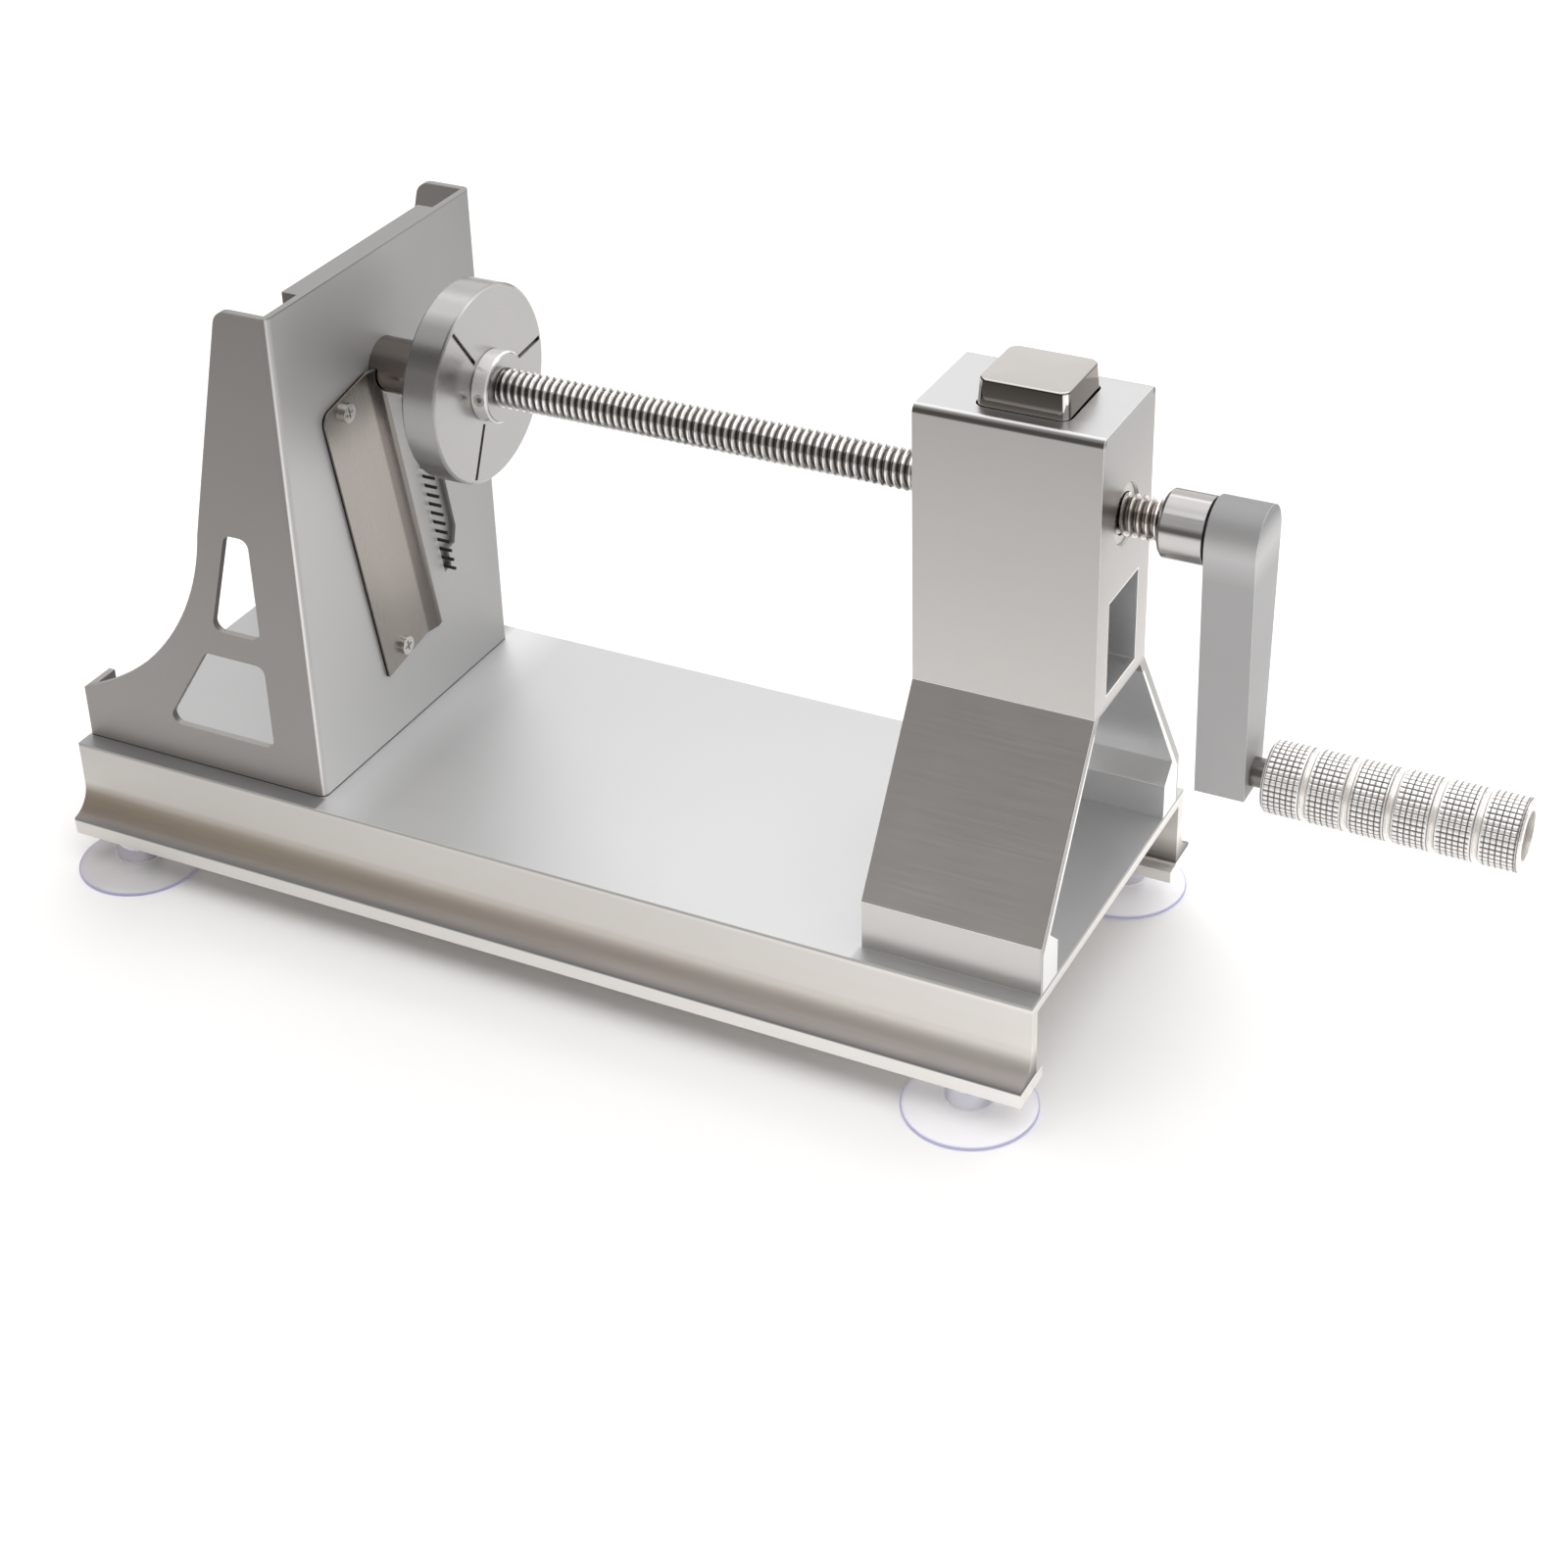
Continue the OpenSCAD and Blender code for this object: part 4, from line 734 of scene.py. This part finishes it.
soften(0.5, "base_extrusion")
soften(0.5, "screw_post", angle=20.0)
soften(0.35, "blade_frame")
soften(0.9, "crank_arm", segments=3)
soften(0.2, "slicing_blade", "blade_screws", "corer_tube", "gripper_fins")
soften(0.3, "pusher_disc", "crank_collar")
soften(0.7, "cup_studs", segments=3)
print("softened", sum(bool(solid.modifiers) for solid in nodes.values()), "solids")

# %% [markdown]
# The finer pieces are surfaces on a grid of two parameters. One helper turns a grid of points into a mesh:
# quads between neighbouring rows and columns, doubles merged where a pole or seam closes, and faces turned
# outwards. It also hangs the piece on an empty for the body it rides on and hides the solids it stands in
# for.

# %% Grid surfaces
LEAST_EDGE = 0.0005*MM


def grid_quads(rows, columns, shift=0):
    """Quads of a grid whose last column joins its first, that many rows further on where it is a helix."""
    row = np.arange(rows)[:, None]
    last = rows - 1
    index = row*columns + np.arange(columns)[None, :]
    joined = np.minimum(row + shift, last - 1 if shift else last)
    seam = np.where(row == last, last, joined)*columns
    index = np.concatenate([index, seam], 1)
    return np.stack([index[:-1, :-1], index[:-1, 1:], index[1:, 1:], index[1:, :-1]], -1).reshape(-1, 4)


def edge_counts(mesh):
    """How many faces meet at each edge; a closed surface has two at every edge."""
    edges = np.empty(len(mesh.loops), int)
    mesh.loops.foreach_get("edge_index", edges)
    return np.bincount(edges, minlength=len(mesh.edges))


def piece(name, grids, material, body, replaces=(), smooth_angle=35.0, shift=0):
    """One object from several closed grids of points: joined, merged, turned outwards and shaded smooth."""
    points, quads, start = [], [], 0
    for grid in grids:
        rows, columns = grid.shape[:2]
        points.append(grid.reshape(-1, 3))
        quads.append(grid_quads(rows, columns, shift) + start)
        start += rows*columns
    mesh = bpy.data.meshes.new(name)
    mesh.from_pydata(np.concatenate(points).tolist(), [], np.concatenate(quads).tolist())
    work = bmesh.new()
    work.from_mesh(mesh)
    bmesh.ops.remove_doubles(work, verts=work.verts, dist=JOIN_GAP)
    bmesh.ops.dissolve_degenerate(work, edges=work.edges, dist=LEAST_EDGE)
    bmesh.ops.recalc_face_normals(work, faces=work.faces)
    work.to_mesh(mesh)
    work.free()
    mesh.polygons.foreach_set("use_smooth", np.ones(len(mesh.polygons), bool))
    mesh.set_sharp_from_angle(angle=math.radians(smooth_angle))
    mesh.materials.append(material)
    made = bpy.data.objects.new(name, mesh)
    bpy.context.scene.collection.objects.link(made)
    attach(made, body)
    if replaces:
        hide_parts(*replaces)
    open_edges = int((edge_counts(mesh) != 2).sum())
    print(name, len(mesh.polygons), "faces,", open_edges, "open edges")
    return made


print("grid helpers ready")

# %% [markdown]
# The lead screw is the object's most telling surface. The solid follows the same helix in twelve steps a
# turn; here the thread gets many more, with a narrow flat crest and a rounded root. The grid is sheared
# along the helix, so that each of its lines lies on the crest, on a flank or in the root, and the ends run
# out into the bare core.

# %% Lead screw
PITCH = 2.4*MM
CREST, ROOT = 6.0*MM, 4.75*MM
ROOT_SHARE, FLANK_SHARE = 0.18, 0.66
THREAD_STEPS = 48
PROFILE_STEPS = 10
RUN_OUT = 0.5*MM


def thread_grid(start, end, height):
    """r = root + depth * tooth(t), with t the place within a pitch, less the turn's share of it."""
    count = int(math.ceil((end - start)/PITCH)) + 2
    step = np.arange(count*PROFILE_STEPS + 1)
    angle = np.arange(THREAD_STEPS)*2.0*np.pi/THREAD_STEPS
    x = start + (step[:, None]/PROFILE_STEPS - 1.0)*PITCH + angle[None, :]/(2.0*np.pi)*PITCH
    t = (step % PROFILE_STEPS)/PROFILE_STEPS
    tooth = np.clip((np.abs(2.0*t - 1.0) - ROOT_SHARE)/FLANK_SHARE, 0.0, 1.0)
    tooth = tooth*tooth*(3.0 - 2.0*tooth)
    fade = np.clip((x - start)/RUN_OUT, 0.0, 1.0)*np.clip((end - x)/RUN_OUT, 0.0, 1.0)
    radius = ROOT + (CREST - ROOT)*tooth[:, None]*fade
    radius[[0, -1]] = 0.0
    return np.stack([np.clip(x, start, end), radius*np.cos(angle), height + radius*np.sin(angle)], -1)


screw_low, screw_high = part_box("lead_screw")
axis_height = (screw_low[2] + screw_high[2])/2
thread = thread_grid(screw_low[0], screw_high[0], axis_height)
piece("lead_screw_thread", [thread], screw_metal, "spindle", ["lead_screw"],
      shift=PROFILE_STEPS)

# %% [markdown]
# The grip is a turned sleeve with five smooth grooves between bands of square knurling, pressed into the
# metal by a wheel of small teeth. The radius is the profile's, less the depth of the lines that run along
# and round it. The knurl is real geometry, because its points catch the light one by one.

# %% Grip
KNURL_COUNT = 40
KNURL_PITCH = 1.65*MM
KNURL_DEPTH = 0.3*MM
KNURL_FLANK = 0.42
KNURL_FADE = 0.3*MM
GROOVES = 5
GROOVE_HALF = 1.4*MM
GROOVE_DEPTH = 1.1*MM
GROOVE_FADE = 0.25*MM
GRIP_STEPS = KNURL_COUNT*6
GRIP_ROW = 0.25*MM
GRIP_CHAMFER = 0.8*MM
GRIP_BORE, GRIP_RECESS, RECESS_DEPTH = 3.3*MM, 7.0*MM, 5.0*MM


def ramp(value, low, high):
    """0 below low, 1 above high and a straight climb between."""
    return np.clip((value - low)/(high - low), 0.0, 1.0)


def grip_radius(x, angle, start, end, radius):
    """r(x, a) = radius - groove(x) - knurl(x, a), where the knurl is the lower of two rows of lines."""
    middles = start + (end - start)*np.arange(1, GROOVES + 1)/(GROOVES + 1)
    nearest = np.abs(x[:, None] - middles[None, :]).min(1)
    groove = 0.5 + 0.5*np.cos(np.pi*np.clip(nearest/GROOVE_HALF, 0.0, 1.0))
    from_end = np.minimum(x - start, end - x)
    knurled = ramp(nearest, GROOVE_HALF, GROOVE_HALF + GROOVE_FADE)
    knurled = knurled*ramp(from_end, GRIP_CHAMFER, GRIP_CHAMFER + KNURL_FADE)
    round_lines = np.abs(2.0*((x/KNURL_PITCH) % 1.0) - 1.0)
    long_lines = np.abs(2.0*((angle*KNURL_COUNT/(2.0*np.pi)) % 1.0) - 1.0)
    height = np.minimum(ramp(1.0 - round_lines, 0.0, KNURL_FLANK)[:, None],
                        ramp(1.0 - long_lines, 0.0, KNURL_FLANK)[None, :])
    return radius - GROOVE_DEPTH*groove[:, None] - KNURL_DEPTH*knurled[:, None]*(1.0 - height)


def grip_grid(start, end, centre, radius):
    """Radii from the bore round and back, turned about the axis: (x, y0 + r cos a, z0 + r sin a)."""
    x = np.arange(start + GRIP_CHAMFER, end - GRIP_CHAMFER, GRIP_ROW)
    angle = np.arange(GRIP_STEPS)*2.0*np.pi/GRIP_STEPS
    left = np.array([(start, GRIP_BORE), (start, radius - GRIP_CHAMFER)])
    right = np.array([(end, radius - GRIP_CHAMFER), (end, GRIP_RECESS), (end - RECESS_DEPTH, GRIP_RECESS),
                      (end - RECESS_DEPTH, GRIP_BORE), (start, GRIP_BORE)])
    spread = np.ones(GRIP_STEPS)
    along = np.concatenate([left[:, 0], x, right[:, 0]])[:, None]*spread
    outside = grip_radius(x, angle, start, end, radius)
    rings = np.concatenate([left[:, 1:]*spread, outside, right[:, 1:]*spread])
    return np.stack([along, centre[1] + rings*np.cos(angle), centre[2] + rings*np.sin(angle)], -1)


grip_low, grip_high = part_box("grip_sleeve")
grip = grip_grid(grip_low[0], grip_high[0], grip_middle, (grip_high[2] - grip_low[2])/2)
piece("grip_knurled", [grip], grip_metal, "grip", ["grip_sleeve"])

# %% [markdown]
# The release button is a polished cap with drafted sides, a soft upper edge and a faintly domed top.
# Its rings are round-cornered rectangles, each drawn in a little more than the one below, up to a point
# in the middle of the top.

# %% Release button
CORNER_STEPS = 10
EDGE_STEPS = 8
CAP_EDGE, CAP_DRAFT, CAP_DOME, CAP_DEPTH = 0.7*MM, 0.5*MM, 0.3*MM, 7.0*MM
CORNER_DRAWN_IN = 0.2


def rectangle_ring(half_x, half_y, corner):
    """Points round a round-cornered rectangle: a corner's centre plus its radius times the direction."""
    turn = np.linspace(0.0, np.pi/2.0, CORNER_STEPS)
    angle = np.concatenate([turn + quarter*np.pi/2.0 for quarter in range(4)])
    sign_x = np.repeat([1.0, -1.0, -1.0, 1.0], CORNER_STEPS)
    sign_y = np.repeat([1.0, 1.0, -1.0, -1.0], CORNER_STEPS)
    return np.stack([sign_x*(half_x - corner) + corner*np.cos(angle),
                     sign_y*(half_y - corner) + corner*np.sin(angle)], -1)


def button_grid(low, high, proud):
    """Rings at rising heights: inset by the sides' draft, by the edge's quarter round, then to a point."""
    middle = middle_of((low, high))
    half_x, half_y = (high[0] - low[0])/2, (high[1] - low[1])/2
    foot = high[2] - proud - CAP_DEPTH
    turn = np.linspace(0.0, np.pi/2.0, EDGE_STEPS)
    edge_foot = high[2] - CAP_DOME - CAP_EDGE
    heights = [foot, foot, high[2] - proud, *(edge_foot + CAP_EDGE*np.sin(turn)), high[2]]
    insets = [None, 0.0, 0.0, *(CAP_DRAFT + CAP_EDGE*(1.0 - np.cos(turn))), None]
    rings = []
    for z, inset in zip(heights, insets):
        flat = np.zeros((4*CORNER_STEPS, 2)) if inset is None else rectangle_ring(
            half_x - inset, half_y - inset, BUTTON_CORNER*MM - CORNER_DRAWN_IN*inset)
        rings.append(np.column_stack([flat + middle[:2], np.full(len(flat), z)]))
    return np.array(rings)


button_low, button_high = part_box("release_button")
post_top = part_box("screw_post")[1][2]
button = button_grid(button_low, button_high, button_high[2] - post_top)
piece("button_cap", [button], chrome_painted_reflections, "release", ["release_button"],
      smooth_angle=60.0)

# %% [markdown]
# Two coiled springs inside the post hold the nut up. They stand on the post's floor and can't follow the
# button, so they are coils of wire that ride on the frame.

# %% Return springs
WIRE = 0.7*MM
COIL_RADIUS = 2.15*MM
CURLS = 6
CURL_STEPS = 24
WIRE_STEPS = 10


def coil_grid(foot, height):
    """A wire along the helix (R cos a, R sin a, h t) with a = 2 pi n t; rows of no width close its ends."""
    t = np.linspace(0.0, 1.0, CURLS*CURL_STEPS + 1)
    angle = 2.0*np.pi*CURLS*t
    outwards = np.stack([np.cos(angle), np.sin(angle), np.zeros_like(t)], -1)
    middle = np.array(foot) + COIL_RADIUS*outwards + height*t[:, None]*np.array((0.0, 0.0, 1.0))
    forward = np.gradient(middle, axis=0)
    upwards = np.cross(forward/np.linalg.norm(forward, axis=1)[:, None], outwards)
    around = np.arange(WIRE_STEPS)[None, :, None]*2.0*np.pi/WIRE_STEPS
    ring = np.cos(around)*outwards[:, None, :] + np.sin(around)*upwards[:, None, :]
    tube = middle[:, None, :] + WIRE/2*ring
    ends = np.repeat(middle[[0, -1], None, :], WIRE_STEPS, 1)
    return np.concatenate([ends[:1], tube, ends[1:]])


springs_low, springs_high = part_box("return_springs")
spring_y = (springs_low[1] + springs_high[1])/2
spring_span = springs_high[2] - springs_low[2]
coil_reach = COIL_RADIUS + WIRE/2
spring_x = (springs_low[0] + coil_reach, springs_high[0] - coil_reach)
spring_feet = [(x, spring_y, springs_low[2] + WIRE/2) for x in spring_x]
coil_grids = [coil_grid(foot, spring_span - WIRE) for foot in spring_feet]
coils = piece("return_coils", coil_grids, plated_metal, "frame", ["return_springs"],
              smooth_angle=60.0)
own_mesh(coils)

# %% [markdown]
# The four feet are clear vinyl suction cups: a thin skirt that curves up to a neck, with a shallow hollow
# below. Each is one profile turned about an upright axis, and the four are one piece, as they never move.

# %% Suction cups
CUP_STEPS = 64
CUP_PROFILE = np.array([
    (0.0, 2.2), (3.05, 2.2), (3.05, 3.5), (7.5, 3.5), (7.9, 3.35), (8.2, 3.0), (9.4, 2.5), (12.0, 2.0),
    (15.0, 1.6), (18.0, 1.25), (19.4, 1.05), (19.9, 0.7), (20.0, 0.35), (19.8, 0.0), (18.6, 0.0),
    (17.8, 0.25), (14.0, 0.65), (10.0, 0.95), (6.0, 1.15), (0.0, 1.2)])*MM
CUP_RADIUS = CUP_PROFILE[:, 0].max()


def cup_grid(centre):
    """(x0 + r cos a, y0 + r sin a, z) for each (r, z) of the cup's profile."""
    angle = np.linspace(0.0, 2.0*np.pi, CUP_STEPS, endpoint=False)
    radius, z = CUP_PROFILE[:, 0:1], CUP_PROFILE[:, 1:2]
    return np.stack([centre[0] + radius*np.cos(angle), centre[1] + radius*np.sin(angle),
                     np.broadcast_to(z, (len(z), CUP_STEPS))], -1)


# The weak constant emission is a painted glow; the cups are no lamp.
vinyl = Finish("clear_vinyl", roughness=0.15, transmission_weight=0.25, ior=1.45, emission_strength=0.14)
cups_low, cups_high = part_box("suction_cups")
cup_x = (cups_low[0] + CUP_RADIUS, cups_high[0] - CUP_RADIUS)
cup_y = (cups_low[1] + CUP_RADIUS, cups_high[1] - CUP_RADIUS)
cup_centres = [(x, y) for x in cup_x for y in cup_y]
cup_grids = [cup_grid(centre) for centre in cup_centres]
cups = piece("suction_cups_clear", cup_grids, vinyl.material, "frame", ["suction_cups"])

# %% [markdown]
# Clear vinyl in a thin skirt lets part of the floor through and looks a little milky, so the finish is part
# clear with a weak painted glow, and painted shade makes it greyer at the left end. Where it is thick it
# gathers a violet light at its rim, which is painted too.
# A number stored at each point says how near it is to the rim of its own cup, and the finish reads it as an
# attribute, because one coordinate can't say that for four cups.

# %% Light in the cups' rims
RIM_START, RIM_CLIMB = 0.972, 70.0
RIM_ALPHA, SKIRT_ALPHA = 0.3, 0.6
# The grey glow and vinyl colours are painted shade at the left end; the violet is painted rim light.
SHADED_GLOW, CLEAR_GLOW = (0.55, 0.54, 0.55), (0.93, 0.92, 0.97)
SHADED_VINYL, CLEAR_VINYL, RIM_VIOLET_LIGHT = (0.62, 0.60, 0.61), (0.98, 0.975, 0.985), (0.30, 0.30, 0.58)

clear = vinyl.axis("X").ramp(cups_low[0]/MM, cups_high[0]/MM)
rim = vinyl.node("Attribute", {"attribute_name": "rim"}, output="Fac")
edge = ((rim - RIM_START)*RIM_CLIMB).clamp()
vinyl.set("emission_color", vinyl.mix(clear, SHADED_GLOW, CLEAR_GLOW))
vinyl.set("base_color", vinyl.mix(edge, vinyl.mix(clear, SHADED_VINYL, CLEAR_VINYL), RIM_VIOLET_LIGHT))
vinyl.set("alpha", edge*RIM_ALPHA + SKIRT_ALPHA)
vinyl.bump(vinyl.noise(60.0, detail=2.0), 0.3*MM, 0.25)

points = np.empty(len(cups.data.vertices)*3)
cups.data.vertices.foreach_get("co", points)
points = points.reshape(-1, 3)
from_centre = np.min([np.hypot(points[:, 0] - x, points[:, 1] - y) for x, y in cup_centres], 0)
rim_store = cups.data.attributes.new("rim", "FLOAT", "POINT")
shares = from_centre/CUP_RADIUS
rim_store.data.foreach_set("value", shares)
print("rim numbers from", round(shares.min(), 3), "to", round(shares.max(), 3))

# %% [markdown]
# The studio is a wide pale floor, a soft light over the object, a large one behind it and a weak glow all
# round. The camera looks down, so the floor is the whole background, and it keeps the shadow.

# %% Stage and light
FLOOR_HALF, FLOOR_DROP = 30.0, 0.1*MM
PAPER_WHITE = (0.96, 0.96, 0.96)
GLOW_COLOUR, GLOW_STRENGTH = (1.0, 0.96, 0.93, 1.0), 0.4


def floor_surface(half_size):
    """A square of two parameters, x and y, each from minus to plus the half size, just under the cups."""
    side = np.linspace(-half_size, half_size, 2)
    x, y = np.meshgrid(side, side, indexing="ij")
    corners = np.stack([x, y, np.full_like(x, -FLOOR_DROP)], -1).reshape(-1, 3)
    mesh = bpy.data.meshes.new("studio_floor")
    mesh.from_pydata(corners.tolist(), [], [(0, 2, 3, 1)])
    made = bpy.data.objects.new("studio_floor", mesh)
    bpy.context.scene.collection.objects.link(made)
    return made


def soft_light(name, place, target, width, height, power):
    """A rectangular lamp that faces a point."""
    data = bpy.data.lights.new(name, "AREA")
    data.shape = "RECTANGLE"
    data.size, data.size_y = width, height
    data.energy = power
    lamp = bpy.data.objects.new(name, data)
    lamp.location = place
    lamp.rotation_euler = (Vector(target) - Vector(place)).to_track_quat("-Z", "Y").to_euler()
    bpy.context.scene.collection.objects.link(lamp)


floor = floor_surface(FLOOR_HALF)
floor.data.materials.append(Finish("floor_paper", roughness=0.9, base_color=PAPER_WHITE).material)

world = bpy.data.worlds.new("studio_world")
bpy.context.scene.world = world
world.use_nodes = True
glow = world.node_tree.nodes["Background"]
glow.inputs["Color"].default_value = GLOW_COLOUR
glow.inputs["Strength"].default_value = GLOW_STRENGTH

soft_light("overhead", (0.2, 0.25, 2.4), (0.2, 0.25, 0.0), width=4.4, height=3.4, power=75.0)
soft_light("behind", (0.1, 2.3, 1.6), (0.0, 0.0, 0.1), width=5.5, height=2.6, power=46.0)
bpy.context.scene.view_settings.view_transform = "Standard"
print("floor of", 2.0*FLOOR_HALF, "m and", len(bpy.data.lights), "lamps")
